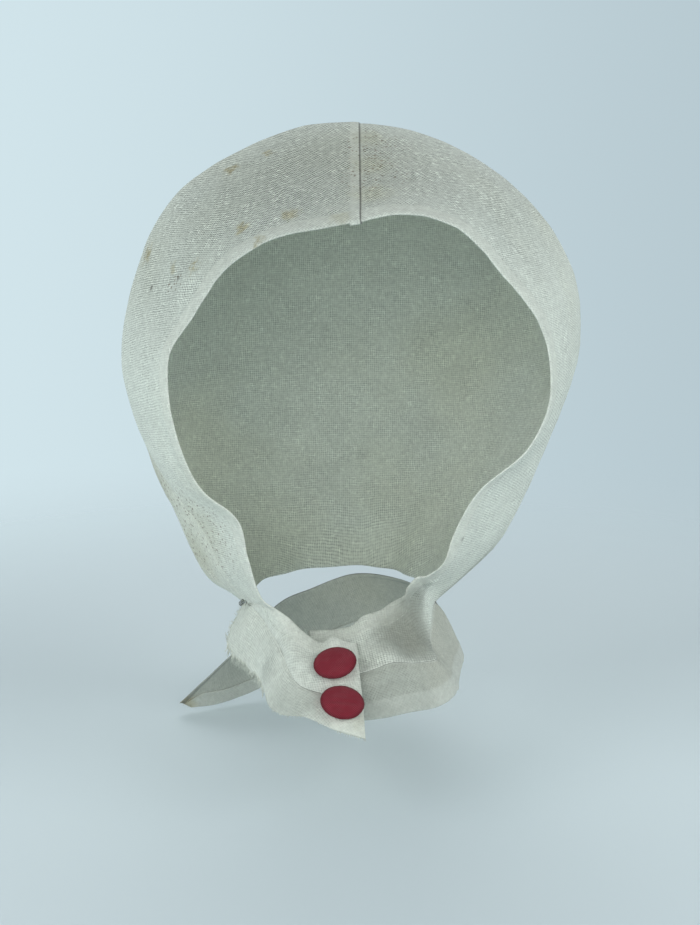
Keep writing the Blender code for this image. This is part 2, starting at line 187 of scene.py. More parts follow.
# One row for each section of the neck, from the side of the neck round to the front closure.
# Across is a share of half the neck's width, forward a share of COLLAR_REACH, and drop the
# distance below the neck as a share of COLLAR_HEIGHT. Top is the hem against the neck, seam
# joins band and collar strip, foot is the strip's lower edge, and swell is how far the
# band stands out between its edges, as a share of COLLAR_HEIGHT.
NeckRow = namedtuple("NeckRow", "top_across top_forward top_drop seam_across seam_forward seam_drop "
                                "foot_across foot_forward foot_drop swell")
NECK_LEFT = table(NeckRow, [
    (0.79, 0.52, -0.45, 1.07, 0.31, -0.24, 1.25, 0.27, 0.38, 0.03),
    (0.72, 0.52, -0.30, 0.97, 0.38, -0.21, 1.19, 0.35, 0.45, 0.03),
    (0.66, 0.53, -0.26, 0.86, 0.45, -0.10, 1.04, 0.45, 0.52, 0.04),
    (0.59, 0.53, -0.19, 0.76, 0.54, 0.02, 0.86, 0.58, 0.65, 0.05),
    (0.52, 0.54, -0.10, 0.66, 0.63, 0.15, 0.83, 0.65, 0.68, 0.05),
    (0.45, 0.55, -0.02, 0.58, 0.72, 0.33, 0.77, 0.74, 0.78, 0.06),
    (0.36, 0.55, 0.07, 0.48, 0.80, 0.43, 0.63, 0.85, 0.77, 0.05),
    (0.27, 0.55, 0.11, 0.28, 0.85, 0.48, 0.41, 0.95, 0.69, 0.04),
    (0.10, 0.55, 0.10, 0.07, 0.87, 0.51, 0.13, 1.04, 0.75, 0.03),
    (-0.06, 0.55, 0.13, -0.12, 0.87, 0.55, -0.14, 1.08, 0.81, 0.03),
])
NECK_RIGHT = table(NeckRow, [
    (0.72, 0.49, -0.79, 0.90, 0.09, 0.04, 1.21, -0.03, 0.87, 0.00),
    (0.64, 0.47, -0.67, 0.83, 0.25, 0.09, 1.18, 0.14, 0.79, -0.04),
    (0.57, 0.45, -0.54, 0.80, 0.38, 0.19, 1.12, 0.31, 0.76, -0.08),
    (0.53, 0.45, -0.42, 0.81, 0.47, 0.28, 1.08, 0.44, 0.79, -0.10),
    (0.43, 0.44, -0.34, 0.85, 0.55, 0.32, 1.05, 0.55, 0.79, -0.10),
    (0.31, 0.43, -0.22, 0.67, 0.64, 0.29, 0.86, 0.72, 0.80, -0.06),
    (0.12, 0.41, -0.10, 0.39, 0.69, 0.25, 0.54, 0.82, 0.78, -0.02),
    (0.03, 0.40, 0.02, 0.21, 0.71, 0.32, 0.33, 0.85, 0.81, -0.01),
    (-0.12, 0.40, 0.08, -0.02, 0.72, 0.40, 0.00, 0.86, 0.85, 0.00),
    (-0.42, 0.41, 0.10, -0.32, 0.72, 0.51, -0.30, 0.85, 0.89, 0.00),
])

# The long strip's sections round the back of the neck and along its loose end.
StripRow = namedtuple("StripRow", "top_across top_back top_drop foot_across foot_back foot_drop")
STRIP_BACK = table(StripRow, [
    (0.89, 0.14, 0.19, 1.17, 0.17, 0.92),
    (0.61, 0.46, 0.15, 0.75, 0.60, 1.05),
    (0.02, 0.64, 0.22, 0.02, 0.76, 1.35),
    (-0.45, 0.64, 0.45, -0.55, 0.74, 1.70),
    (-0.83, 0.56, 0.62, -1.02, 0.64, 2.05),
    (-1.28, 0.46, 1.22, -1.48, 0.53, 2.19),
    (-1.95, 0.42, 2.06, -1.82, 0.45, 2.18),
])

# Camera, floor and light
VIEW_AIM = Vector((0.0, 0.0, -0.18))
VIEW_DISTANCE = 0.75
VIEW_RAISE = 12.0
VIEW_LENS = 53.55
SENSOR_WIDTH = 36.0
FLOOR_DOWN = -0.347
FLOOR_COLOUR = (0.61, 0.695, 0.725, 1.0)
AIR_LEFT = (0.65, 0.79, 0.84, 1.0)
AIR_RIGHT = (0.47, 0.58, 0.63, 1.0)
AIR_ABOVE = (0.22, 0.25, 0.26, 1.0)
BACK_FLOOR = Vector((0.0, 0.40, FLOOR_DOWN))
Lamp = namedtuple("Lamp", "name place width power aim")
LAMPS = table(Lamp, [
    ("window_left", (-1.3, -0.9, 0.45), 1.2, 14.5, VIEW_AIM),
    ("window_right", (1.4, -0.7, 0.35), 1.2, 15.5, VIEW_AIM),
    ("window_front", (-0.1, -1.7, 0.35), 1.0, 9.0, VIEW_AIM),
    ("window_back", (-0.1, 1.30, 0.70), 1.2, 8.0, BACK_FLOOR),
])


# Curves and sections

def runs_along(places):
    """How far along a line each of its places lies."""
    runs = [0.0]
    for before, after in zip(places, places[1:]):
        runs.append(runs[-1] + (after - before).length)
    return runs


def find(runs, distance):
    """Which step of a line holds a distance along it, and at what share of that step."""
    index = min(max(bisect.bisect_right(runs, distance) - 1, 0), len(runs) - 2)
    return index, (distance - runs[index]) / max(runs[index + 1] - runs[index], TINY)


def resample(points, count):
    """Places count + 1 points at equal distances along a polyline."""
    runs = runs_along(points)
    result = []
    index = 0
    for step in range(count + 1):
        wanted = runs[-1] * step / count
        while index < len(points) - 2 and runs[index + 1] < wanted:
            index += 1
        span = runs[index + 1] - runs[index]
        share = (wanted - runs[index]) / span if span > 0.0 else 0.0
        result.append(points[index].lerp(points[index + 1], min(share, 1.0)))
    return result


def arc(start, bend, stop, u):
    """A place on the soft arc from start to stop that is drawn towards bend."""
    return start * (1 - u) ** 2 + bend * (2 * u * (1 - u)) + stop * u ** 2


def curve_points(curve, start, stop, count):
    fine = [curve(start + (stop - start) * step / CURVE_SAMPLES) for step in range(CURVE_SAMPLES + 1)]
    return resample(fine, count)


def smooth_between(sections, steps):
    """Runs a smooth curve through each column of a list of sections, with extra rows between."""
    middle = len(sections[0]) // 2
    knots = [0.0]
    for before, after in zip(sections, sections[1:]):
        knots.append(knots[-1] + max((after[middle] - before[middle]).length, 0.001))
    last = len(sections) - 1

    def slope(row, column):
        low = max(row - 1, 0)
        high = min(row + 1, last)
        if low == row or high == row:
            return (sections[high][column] - sections[low][column]) / (knots[high] - knots[low])
        before = (sections[row][column] - sections[low][column]) / (knots[row] - knots[low])
        after = (sections[high][column] - sections[row][column]) / (knots[high] - knots[row])
        weight = (knots[row] - knots[low]) / (knots[high] - knots[low])
        return before.lerp(after, weight)

    slopes = [[slope(row, column) for column in range(len(sections[0]))] for row in range(last + 1)]
    rows = []
    for row in range(last):
        span = knots[row + 1] - knots[row]
        for step in range(steps):
            u = step / steps
            start, finish = 2 * u ** 3 - 3 * u ** 2 + 1, 3 * u ** 2 - 2 * u ** 3
            lead, trail = (u ** 3 - 2 * u ** 2 + u) * span, (u ** 3 - u ** 2) * span
            rows.append([a * start + sa * lead + b * finish + sb * trail for a, sa, b, sb in
                         zip(sections[row], slopes[row], sections[row + 1], slopes[row + 1])])
    rows.append(list(sections[last]))
    return rows


def hood_curve(row, back, side):
    """Returns the section of the hood as a function: 0 face hem, 0.5 rim, 1 back centre."""
    half = HOOD_WIDTH / 2.0
    hem = Vector((side * row.hem_across * half, -row.hem_forward * FACE_REACH,
                  -row.hem_down * HOOD_HEIGHT))
    rim = Vector((side * row.rim_across * half, row.rim_back * HOOD_DEPTH,
                  -row.rim_down * HOOD_HEIGHT))
    end = Vector((CENTRE.hem_across * half, back.back * HOOD_DEPTH, -back.down * HOOD_HEIGHT))
    bend = hem.lerp(rim, RIM_BEND)
    bend.x = rim.x

    def point(place):
        if place <= 0.5:
            return arc(hem, bend, rim, place * 2.0)
        angle = (place - 0.5) * math.pi
        return Vector((end.x + (rim.x - end.x) * math.cos(angle),
                       rim.y + (end.y - rim.y) * math.sin(angle),
                       rim.z + (end.z - rim.z) * math.sin(angle) ** 2))
    return point


def outward(point):
    """The level direction away from the middle of the neck."""
    return Vector((point.x, point.y, 0.0)).normalized()


def bowed(start, stop, height, count):
    """A shallow arc from start to stop that stands out by height."""
    middle = (start + stop) / 2.0
    away = outward(middle) + Vector((0.0, 0.0, SWELL_RISE))
    bend = middle + away.normalized() * (2.0 * height)
    return curve_points(lambda u: arc(start, bend, stop, u), 0.0, 1.0, count)


def neck_point(across, forward, drop, side):
    return Vector((side * across * NECK_WIDTH / 2.0, -forward * COLLAR_REACH,
                   -HOOD_HEIGHT - drop * COLLAR_HEIGHT))


def neck_corners(row, side):
    return (neck_point(row.top_across, row.top_forward, row.top_drop, side),
            neck_point(row.seam_across, row.seam_forward, row.seam_drop, side),
            neck_point(row.foot_across, row.foot_forward, row.foot_drop, side))


def hood_rows(hood, side):
    """The hood's sections from the centre row down one side."""
    curves = []
    for number, row in enumerate([CENTRE] + hood):
        turn = 1.0 if number == 0 else side
        curves.append((hood_curve(row, BACK_CENTRE[number], turn), row.seam))
    return curves


def band_sections(hood, neck, side):
    sections = [curve_points(curve, 0.0, seam, BAND_COLUMNS) for curve, seam in hood_rows(hood, side)]
    for row in neck[1:]:
        top, seam, foot = neck_corners(row, side)
        sections.append(bowed(top, seam, row.swell * COLLAR_HEIGHT, BAND_COLUMNS))
    return sections


def crown_sections(hood, side):
    return [curve_points(curve, seam, 1.0, CROWN_COLUMNS) for curve, seam in hood_rows(hood, side)]


def collar_sections(neck, hood, side):
    """The strip's sections: its top is the band's seam."""
    curve, seam_place = hood_rows(hood, side)[-1]
    sections = []
    for number, row in enumerate(neck):
        top, seam, foot = neck_corners(row, side)
        if number == 0:
            seam = curve(seam_place)
        sections.append(bowed(seam, foot, COLLAR_BULGE, COLLAR_COLUMNS))
    return sections


def strip_back_sections():
    """The long strip's sections behind the neck and along its loose end."""
    def corner(across, back, drop):
        return Vector((across * NECK_WIDTH / 2.0, back * HOOD_DEPTH, -HOOD_HEIGHT - drop * COLLAR_HEIGHT))

    return [bowed(corner(row.top_across, row.top_back, row.top_drop),
                  corner(row.foot_across, row.foot_back, row.foot_drop), COLLAR_BULGE, COLLAR_COLUMNS)
            for row in STRIP_BACK]


def follow(rows, edge_points):
    """Moves a grid's first column onto a given edge, and the next columns part of the way."""
    blend = len(rows[0]) * SEAM_BLEND_SHARE
    for row, wanted in zip(rows, edge_points):
        shift = wanted - row[0]
        for column in range(len(row)):
            row[column] = row[column] + shift * max(0.0, 1.0 - column / blend)


def band_rows():
    """Both bands as one grid, from the left end over the head to the right end."""
    left = band_sections(HOOD_LEFT, NECK_LEFT, -1.0)
    right = band_sections(HOOD_RIGHT, NECK_RIGHT, 1.0)
    return smooth_between(list(reversed(left)) + right[1:], STEPS_PER_ROW)


# Cloth as a grid of points. Each point holds its place, its place on the flat cloth, how many
# extra layers lie under it, and the direction that its outer face looks. The layers are 0 or 1,
# or one of the values below, which mark painted shade: at a seam's edge, along a crease, and on
# cloth lapped under a seam.
Point = namedtuple("Point", "place flat double normal")
SEAM_SHADE_EDGE = 2.0
CREASE_SHADE = 3.0
LAP_SHADE = 1.65


def transpose(grid):
    return [list(line) for line in zip(*grid)]


def laid_flat(rows, turned):
    """The flat place of each point. Each row lies straight, turned as far as its two edges ask."""
    count, middle = len(rows), len(rows[0]) // 2
    flats = [None] * count
    for way in (1, -1):
        angle = math.radians(turned)
        centre = Vector((0.0, 0.0))
        number = count // 2
        while 0 <= number < count:
            row = rows[number]
            wide = runs_along(row)
            along = Vector((math.cos(angle), math.sin(angle)))
            flats[number] = [tuple(centre + along * (run - wide[middle])) for run in wide]
            ahead = number + way
            if 0 <= ahead < count:
                steps = [(new - old).length for old, new in zip(row, rows[ahead])]
                angle += way * (steps[-1] - steps[0]) / max(wide[-1], 0.005)
                centre = centre + Vector((-along.y, along.x)) * (way * steps[middle])
            number = ahead
    return flats


def cloth_points(rows, turned=0.0, outer=1.0):
    """Gives each point of a grid its normal and its flat place, with the threads turned by an angle."""
    count, across = len(rows), len(rows[0])
    flats = laid_flat(rows, turned)
    grid = []
    for number, row in enumerate(rows):
        up, down = rows[max(number - 1, 0)], rows[min(number + 1, count - 1)]
        line = []
        for column, place in enumerate(row):
            left, right = row[max(column - 1, 0)], row[min(column + 1, across - 1)]
            normal = (right - left).cross(down[column] - up[column]).normalized() * outer
            line.append(Point(place, flats[number][column], 0.0, normal))
        grid.append(line)
    return grid


def lifted(point, height, **changes):
    """The same point moved out of the cloth by a height, with other values changed where asked."""
    return point._replace(place=point.place + point.normal * height, **changes)


def column_of(grid, column):
    return [line[column] for line in grid]


def flipped(grid):
    """The same grid with the points of each line in the other order."""
    return [list(reversed(line)) for line in grid]


def round_back(place):
    """The flat place of a point of the crown, unrolled from the middle of the back."""
    away = place - BACK_HEART
    turn = math.acos(max(-1.0, min(1.0, away.y / away.length)))
    level = math.hypot(away.x, away.z)
    if level <= 0.00001:
        return 0.0, 0.0
    return BACK_RADIUS * turn * away.x / level, BACK_RADIUS * turn * away.z / level


def crumple(place, folds):
    """How far the cloth stands out at a place: broad waves, small crumples and a few sharp creases."""
    broad = noise.noise(place * WAVE_SCALE + Vector((3.1, 0.0, 7.7)))
    small = noise.noise(place * CRUMPLE_SCALE)
    crease = 1.0 - abs(noise.noise(place * CREASE_SCALE + Vector((11.0, 5.0, 2.0)))) * 2.2
    return folds * (WAVE_HEIGHT * broad + CRUMPLE_HEIGHT * small + CREASE_HEIGHT * max(crease, 0.0) ** 3)


def crumpled(grid, folds=1.0, calm="end"):
    """Crumples the cloth, less and less towards its seam at the first (start) or last (end) column."""
    result = []
    for line in grid:
        seam = (line[0] if calm == "start" else line[-1]).place
        bent = []
        for point in line:
            calmed = min(1.0, (point.place - seam).length / CALM_WIDTH)
            stands_out = point.normal * crumple(point.place, folds) * calmed
            bent.append(point._replace(place=point.place + stands_out))
        result.append(bent)
    return result


def runs_of(line):
    return runs_along([point.place for point in line])


def at_distance(line, runs, distance):
    """The cloth's point at a distance along a line."""
    index, share = find(runs, distance)
    before, after = line[index], line[index + 1]
    return Point(before.place.lerp(after.place, share),
                 tuple(Vector(before.flat).lerp(Vector(after.flat), share)),
                 before.double + (after.double - before.double) * share,
                 before.normal.lerp(after.normal, share).normalized())


def distance_at(runs, count):
    """How far along a line a number of its steps reaches. The number may have a share of a step."""
    index = min(int(count), len(runs) - 2)
    return runs[index] + (runs[index + 1] - runs[index]) * (count - index)


def on_edge(centre, along, normal, radius, angle):
    """A place on the round edge of bent cloth: at 0 degrees its outermost line, at 90 its top."""
    turn = math.radians(angle)
    return centre - along * (radius * math.cos(turn)) + normal * (radius * math.sin(turn))


def hem_distances(runs, width):
    """Where the columns of a turned edge lie: the first over its width, the rest over what is left."""
    turned = min(width, runs[-1] * TURN_LIMIT)
    last = len(runs) - 1
    rest = last - HEM_COLUMNS
    start = sum(find(runs, turned))
    return ([turned * step / HEM_COLUMNS for step in range(HEM_COLUMNS + 1)]
            + [distance_at(runs, start + (last - start) * step / rest) for step in range(1, rest + 1)])


def turn_under(grid, width, raise_by=RAISE_BY, edge_layers=1.0):
    """Turns the cloth at the first columns back under itself, as a hem or seam allowance."""
    result = []
    half = LAYER_GAP / 2.0
    for line in grid:
        runs = runs_of(line)
        line = [at_distance(line, runs, distance) for distance in hem_distances(runs, width)]
        edge, after = line[0], line[1]
        along = (after.place - edge.place).normalized()
        crease = Vector(edge.flat)
        step = (Vector(after.flat) - crease).normalized()
        under = [lifted(point, -LAYER_GAP, flat=tuple(2.0 * crease - Vector(point.flat)), double=1.0)
                 for point in reversed(line[1:HEM_COLUMNS + 1])]
        centre = edge.place + along * half - edge.normal * half
        # The fold's points take edge_layers: one layer more, or the mark for painted shade along a crease.
        fold = [Point(on_edge(centre, along, edge.normal, half, angle),
                      tuple(crease + step * (half * math.radians(angle))), edge_layers, edge.normal)
                for angle in FOLD_ANGLES]
        over = [lifted(point, raise_by, double=1.0) for point in line[1:HEM_COLUMNS]]
        result.append(under + fold + over + line[HEM_COLUMNS:])
    return result


def roll_in(grid):
    """Rolls the first column's edge inwards, where the cloth goes down into a seam."""
    result = []
    for line in grid:
        edge, after = line[0], line[1]
        along = (after.place - edge.place).normalized()
        start = edge.place + along * SEAM_SPACE
        centre = start + along * SEAM_ROLL - edge.normal * SEAM_ROLL
        # The edge down in the seam, and the first of the roll, carry the mark for painted seam shade.
        rolled = [edge._replace(place=start - edge.normal * SEAM_DEPTH, double=SEAM_SHADE_EDGE)]
        rolled += [edge._replace(place=on_edge(centre, along, edge.normal, SEAM_ROLL, angle),
                                 double=SEAM_SHADE_EDGE if angle < 45 else 0.0) for angle in ROLL_ANGLES]
        result.append(rolled + line[1:])
    return result


def lap_under(grid, neighbours):
    """Runs the cloth on past its first column, under the neighbour it is sewn to."""
    result = []
    for number, line in enumerate(grid):
        beside = neighbours[number] if number < len(neighbours) else line
        runs = runs_of(beside)
        edge = line[0]
        step = (Vector(line[1].flat) - Vector(edge.flat)).normalized()
        # The lapped cloth and the sunk edge carry the mark for painted shade under the seam.
        lapped = []
        for column in range(LAP_COLUMNS, 0, -1):
            away = LAP_WIDTH * column / LAP_COLUMNS
            lapped.append(lifted(at_distance(beside, runs, away), -LAP_DEPTH,
                                 flat=tuple(Vector(edge.flat) - step * away), double=LAP_SHADE))
        sunk = [lifted(point, -LAP_DEPTH * share) for point, share in zip(line, SUNK_SHARES)]
        sunk[0] = sunk[0]._replace(double=LAP_SHADE)
        result.append(lapped + sunk + line[len(sunk):])
    return result


def ways_out(edge, inner):
    """The way out of the cloth at each point of an edge. Inner is the line of points behind it."""
    return [(point.place - behind.place).normalized() for point, behind in zip(edge, inner)]


def ragged(line, beside, strength, seed):
    """Makes a raw edge uneven. Beside is the line of points next to it, on the cloth's side."""
    result = []
    for point, way in zip(line, ways_out(line, beside)):
        spot = point.place + Vector((seed, 0.0, 0.0))
        uneven = noise.noise(spot * RAGGED_FINE) * 0.6 + noise.noise(spot * RAGGED_BROAD)
        result.append(point._replace(place=point.place + way * (strength * uneven)))
    return result


def gather_nape(rows):
    """Lays soft folds into the crown's lower edge at the nape."""
    count = len(rows) - 1
    half = count // 2
    for number, row in enumerate(rows):
        down = abs(number - half) / half
        fade = max(0.0, (down - 0.5) / 0.5) ** 1.5
        last = len(row) - 1
        for column in range(1, last + 1):
            share = column / last
            wave = 0.5 - 0.5 * math.cos(2.0 * math.pi * NAPE_FOLDS * share)
            depth = NAPE_FOLD_DEPTH * wave * fade * min(share * 4.0, 1.0)
            row[column] = row[column] - outward(row[column]) * depth


# Single folds in the cloth: the two ends of the fold's line, its width and its height. A fold fades
# out at FOLD_REACH times its width.
FOLD_REACH = 3.0
Fold = namedtuple("Fold", "start end width height")
BAND_FOLDS = table(Fold, [
    ((0.0440, -0.0421, -0.2339), (0.0418, -0.0502, -0.2640), 0.0030, 0.0016),
    ((0.0324, -0.0458, -0.2437), (0.0297, -0.0640, -0.2646), 0.0060, -0.0016),
    ((0.0230, -0.0500, -0.2520), (0.0200, -0.0680, -0.2660), 0.0050, 0.0010),
    ((-0.0075, -0.0800, -0.2680), (-0.0075, -0.0861, -0.2740), 0.0010, -0.0008),
    ((-0.0085, -0.0560, -0.2605), (-0.0080, -0.0640, -0.2640), 0.0032, 0.0042),
    ((-0.0170, -0.0600, -0.2620), (-0.0150, -0.0680, -0.2660), 0.0030, -0.0003),
    ((-0.0340, -0.0700, -0.2560), (-0.0250, -0.0780, -0.2660), 0.0040, 0.0008),
    ((-0.0760, -0.0548, -0.0710), (-0.0900, -0.0480, -0.0980), 0.0050, 0.0009),
    ((-0.0950, -0.0480, -0.1500), (-0.0860, -0.0500, -0.1800), 0.0060, -0.0010),
    ((0.0950, -0.0450, -0.1450), (0.0800, -0.0480, -0.1750), 0.0060, -0.0010),
    ((0.0567, -0.0543, -0.2079), (0.0480, -0.0450, -0.2250), 0.0040, 0.0010),
])
COLLAR_FOLDS = table(Fold, [
    ((0.0449, -0.0593, -0.2701), (0.0555, -0.0599, -0.2879), 0.0022, -0.0009),
    ((-0.0446, -0.0668, -0.2819), (-0.0340, -0.0700, -0.2625), 0.0022, 0.0009),
    ((-0.0520, -0.0500, -0.2640), (-0.0500, -0.0620, -0.2780), 0.0035, -0.0008),
    ((0.0100, -0.0880, -0.2740), (0.0420, -0.0740, -0.2760), 0.0030, -0.0006),
])


def folded(grid, folds):
    """Presses a table of folds into the cloth."""
    lines = [(Vector(fold.start), Vector(fold.end) - Vector(fold.start), fold) for fold in folds]

    def lift_at(place):
        lift = 0.0
        for start, run, fold in lines:
            share = max(0.0, min(1.0, (place - start).dot(run) / run.length_squared))
            away = (place - start - run * share).length / fold.width
            if away < FOLD_REACH:
                lift += fold.height * math.exp(-away * away)
        return lift

    return [[lifted(point, lift_at(point.place)) for point in line] for line in grid]


def at_far_end(change, grid, *sizes):
    """Makes the same change at the last columns."""
    return flipped(change(flipped(grid), *sizes))


def at_first_rows(change, grid, *sizes):
    return transpose(change(transpose(grid), *sizes))


def at_last_rows(change, grid, *sizes):
    return transpose(at_far_end(change, transpose(grid), *sizes))


# From shapes to pieces in the frame

def add_grid(shape, across, down):
    """Adds a flat grid to a shape. Gives each of its points with its column and its row."""
    made = bmesh.ops.create_grid(shape, x_segments=across, y_segments=down, size=0.5)["verts"]
    return [(vert, round((vert.co.x + 0.5) * across), round((vert.co.y + 0.5) * down)) for vert in made]


def keep(name, shape, material):
    """Makes an object of one material from a finished shape."""
    mesh = bpy.data.meshes.new(name)
    shape.to_mesh(mesh)
    shape.free()
    mesh.materials.append(material)
    kept = bpy.data.objects.new(name, mesh)
    bpy.context.scene.collection.objects.link(kept)
    return kept


def put_in_frame(piece, node):
    """Puts a piece in the frame, where it stands for one of the part's nodes."""
    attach(piece, "root")
    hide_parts(node)
    return piece


def sew(name, grid, material, node, closed_back=False):
    """Makes the cloth's mesh from its grid of points, gives it its thickness and puts it in the frame."""
    shape = bmesh.new()
    double = shape.verts.layers.float.new("double")
    flat = shape.loops.layers.uv.new("cloth")
    points = {}
    for vert, column, row in add_grid(shape, len(grid[0]) - 1, len(grid) - 1):
        point = grid[row][column]
        points[vert] = point
        vert.co = point.place
        vert[double] = point.double
    for face in shape.faces:
        face.smooth = True
        for loop in face.loops:
            loop[flat].uv = points[loop.vert].flat
    shape.normal_update()
    lean = sum(vert.normal.dot(point.normal) for vert, point in points.items() if point.double < 0.5)
    if closed_back:
        bmesh.ops.remove_doubles(shape, verts=shape.verts, dist=MERGE)
    if lean < 0.0:
        bmesh.ops.reverse_faces(shape, faces=shape.faces)
    cloth = keep(name, shape, material)
    wall = cloth.modifiers.new("thickness", "SOLIDIFY")
    wall.thickness = CLOTH
    wall.offset = -1.0
    wall.use_even_offset = False
    return put_in_frame(cloth, node)


# Buttons covered with cloth

def button_seat(node):
    """The middle of the flat back of the part's own button, and the way its face looks."""
    shape = bmesh.new()
    shape.from_mesh(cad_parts[node].data)
    backs = {}
    for face in shape.faces:
        key = tuple(round(value, 2) for value in face.normal)
        area, middle = backs.get(key, (0.0, Vector()))
        backs[key] = (area + face.calc_area(), middle + face.calc_center_median() * face.calc_area())
    shape.free()
    key = max(backs, key=lambda name: backs[name][0])
    area, middle = backs[key]
    return middle / area, -Vector(key).normalized()


def button_profile():
    """The button's outline from its middle over its rim to its back, drawn soft."""
    outline = [Vector((across * BUTTON_WIDTH / 2.0, 0.0, up * BUTTON_HEIGHT))
               for across, up in BUTTON_OUTLINE]
    profile = resample(outline, BUTTON_ROWS)
    for again in range(BUTTON_SMOOTHINGS):
        middle = [(before + point * 2.0 + after) / 4.0 for before, point, after in
                  zip(profile, profile[1:], profile[2:])]
        profile = [profile[0]] + middle + [profile[-1]]
    return profile


def wrinkles(across, along, seed):
    """Fine creases, crossing each other, in the cloth drawn over a button."""
    return (noise.noise(Vector((across * 420.0, along * 130.0, seed)))
            + 0.5 * noise.noise(Vector((across * 160.0, along * 520.0, seed + 3.0))))


def cover_button(name, node, material, wrinkle, seed):
    """A domed button with cloth drawn over it and gathered to its back."""
    seat, face = button_seat(node)
    first = Vector((1.0, 0.0, 0.0)).cross(face).normalized()
    second = face.cross(first).normalized()
    profile = button_profile()
    shape = bmesh.new()
    flat = shape.loops.layers.uv.new("cloth")
    rim = shape.verts.layers.float.new("rim")
    for vert, side, row in add_grid(shape, BUTTON_SIDES, BUTTON_ROWS):
        turn = 2.0 * math.pi * (side % BUTTON_SIDES) / BUTTON_SIDES
        reach, up = profile[row].x, profile[row].z
        spot = Vector((math.cos(turn) * reach, math.sin(turn) * reach, seed))
        share = min(1.0, reach / (BUTTON_WIDTH / 2.0))
        lift = wrinkle * wrinkles(spot.x, spot.y, seed) if up >= BUTTON_HEIGHT * FLAT_BELOW else 0.0
        uneven = BUTTON_UNEVEN * noise.noise(Vector((math.cos(turn) * 1.6, math.sin(turn) * 1.6, seed)))
        gathers = GATHER_DEPTH * math.sin(turn * BUTTON_GATHERS + seed) * share ** 6
        reach *= 1.0 + uneven + gathers
        vert.co = (seat + first * (math.cos(turn) * reach) + second * (math.sin(turn) * reach)
                   + face * (up + lift * (1.0 - share ** 4)))
        # The share out to the rim, which the button cloth's painted rim shade reads.
        vert[rim] = share
    for part in shape.faces:
        part.smooth = True
        for loop in part.loops:
            away = loop.vert.co - seat
            loop[flat].uv = (away.dot(first), away.dot(second))
    bmesh.ops.remove_doubles(shape, verts=shape.verts, dist=MERGE)
    bmesh.ops.recalc_face_normals(shape, faces=shape.faces)
    put_in_frame(keep(name, shape, material), node)


# Threads: fringe, stitches and knots

def add_thread(shape, path, radius, tip=0.5):
    """Adds one closed thread along a path to a shape. Tip is the share of its radius at its end."""
    steps = len(path) + 1
    places = [path[0]] + path + [path[-1]]
    for vert, side, row in add_grid(shape, THREAD_SIDES, steps):
        run = places[min(row + 1, steps)] - places[max(row - 1, 0)]
        first = run.orthogonal().normalized()
        second = run.cross(first).normalized()
        turn = math.radians(360.0 / THREAD_SIDES * (side % THREAD_SIDES))
        wide = 0.0 if row in (0, steps) else radius * (1.0 - (1.0 - tip) * row / steps)
        vert.co = places[row] + (first * math.cos(turn) + second * math.sin(turn)) * wide


def finish_threads(name, shape, material, node):
    """Closes the threads, points their faces outwards and puts them in the frame as one piece."""
    bmesh.ops.remove_doubles(shape, verts=shape.verts, dist=THREAD_MERGE)
    bmesh.ops.recalc_face_normals(shape, faces=shape.faces)
    for face in shape.faces:
        face.smooth = True
    return put_in_frame(keep(name, shape, material), node)


def raw_edge(edge, inner, length, density):
    """What a fringe needs of a raw edge: places, ways out, and how long and dense its strands are."""
    return [point.place for point in edge], ways_out(edge, inner), length, density


def fringe(name, edges, material, node, seed):
    """Frayed strands that hang from raw edges."""
    draw = random.Random(seed)
    shape = bmesh.new()
    for places, ways, length, density in edges:
        runs = runs_along(places)
        count = int(runs[-1] / FRINGE_STEP * density)
        for number in range(count):
            index, share = find(runs, runs[-1] * (number + draw.random()) / count)
            start = places[index].lerp(places[index + 1], share)
            way = ways[index].lerp(ways[index + 1], share).normalized()
            along = (places[index + 1] - places[index]).normalized()
            bend = along * draw.uniform(-STRAND_BEND, STRAND_BEND)
            bend = bend + Vector((0.0, 0.0, draw.uniform(STRAND_DROP, STRAND_RISE)))
            sway = way.cross(along) * draw.uniform(-STRAND_SWAY, STRAND_SWAY)
            reach = length * draw.uniform(0.25, 1.0) ** 1.3
            path = [start - way * FRINGE_ROOT + way * (reach * u) + (bend + sway) * (reach * u * u)
                    for u in (0.0, 0.25, 0.5, 0.75, 1.0)]
            add_thread(shape, path, THREAD * draw.uniform(0.6, 1.0))
    return finish_threads(name, shape, material, node)


def stitches(name, line, material, node, seed):
    """Small running stitches along a line of points on the cloth."""
    draw = random.Random(seed)
    shape = bmesh.new()
    runs = runs_of(line)
    wanted = STITCH_STEP
    while wanted < runs[-1] - STITCH_STEP:
        long = STITCH_LENGTH * draw.uniform(0.75, 1.15)
        path = []
        for step in (-1, 0, 1):
            index, share = find(runs, wanted + long * step / 2.0)
            before, after = line[index], line[index + 1]
            lift = STITCH * (STITCH_RISE if step == 0 else -STITCH_RISE)
            path.append(before.place.lerp(after.place, share)
                        + before.normal.lerp(after.normal, share) * lift)
        add_thread(shape, path, STITCH, tip=1.0)
        wanted += STITCH_STEP * draw.uniform(0.85, 1.15)
    return finish_threads(name, shape, material, node)


# Where a dark tangle of thread sits at the left hem, and a loose loop on the right band
KNOT_PLACE = Vector((-0.0569, -0.0365, -0.2477))
LOOP_PLACE = Vector((0.0115, -0.0473, -0.2510))


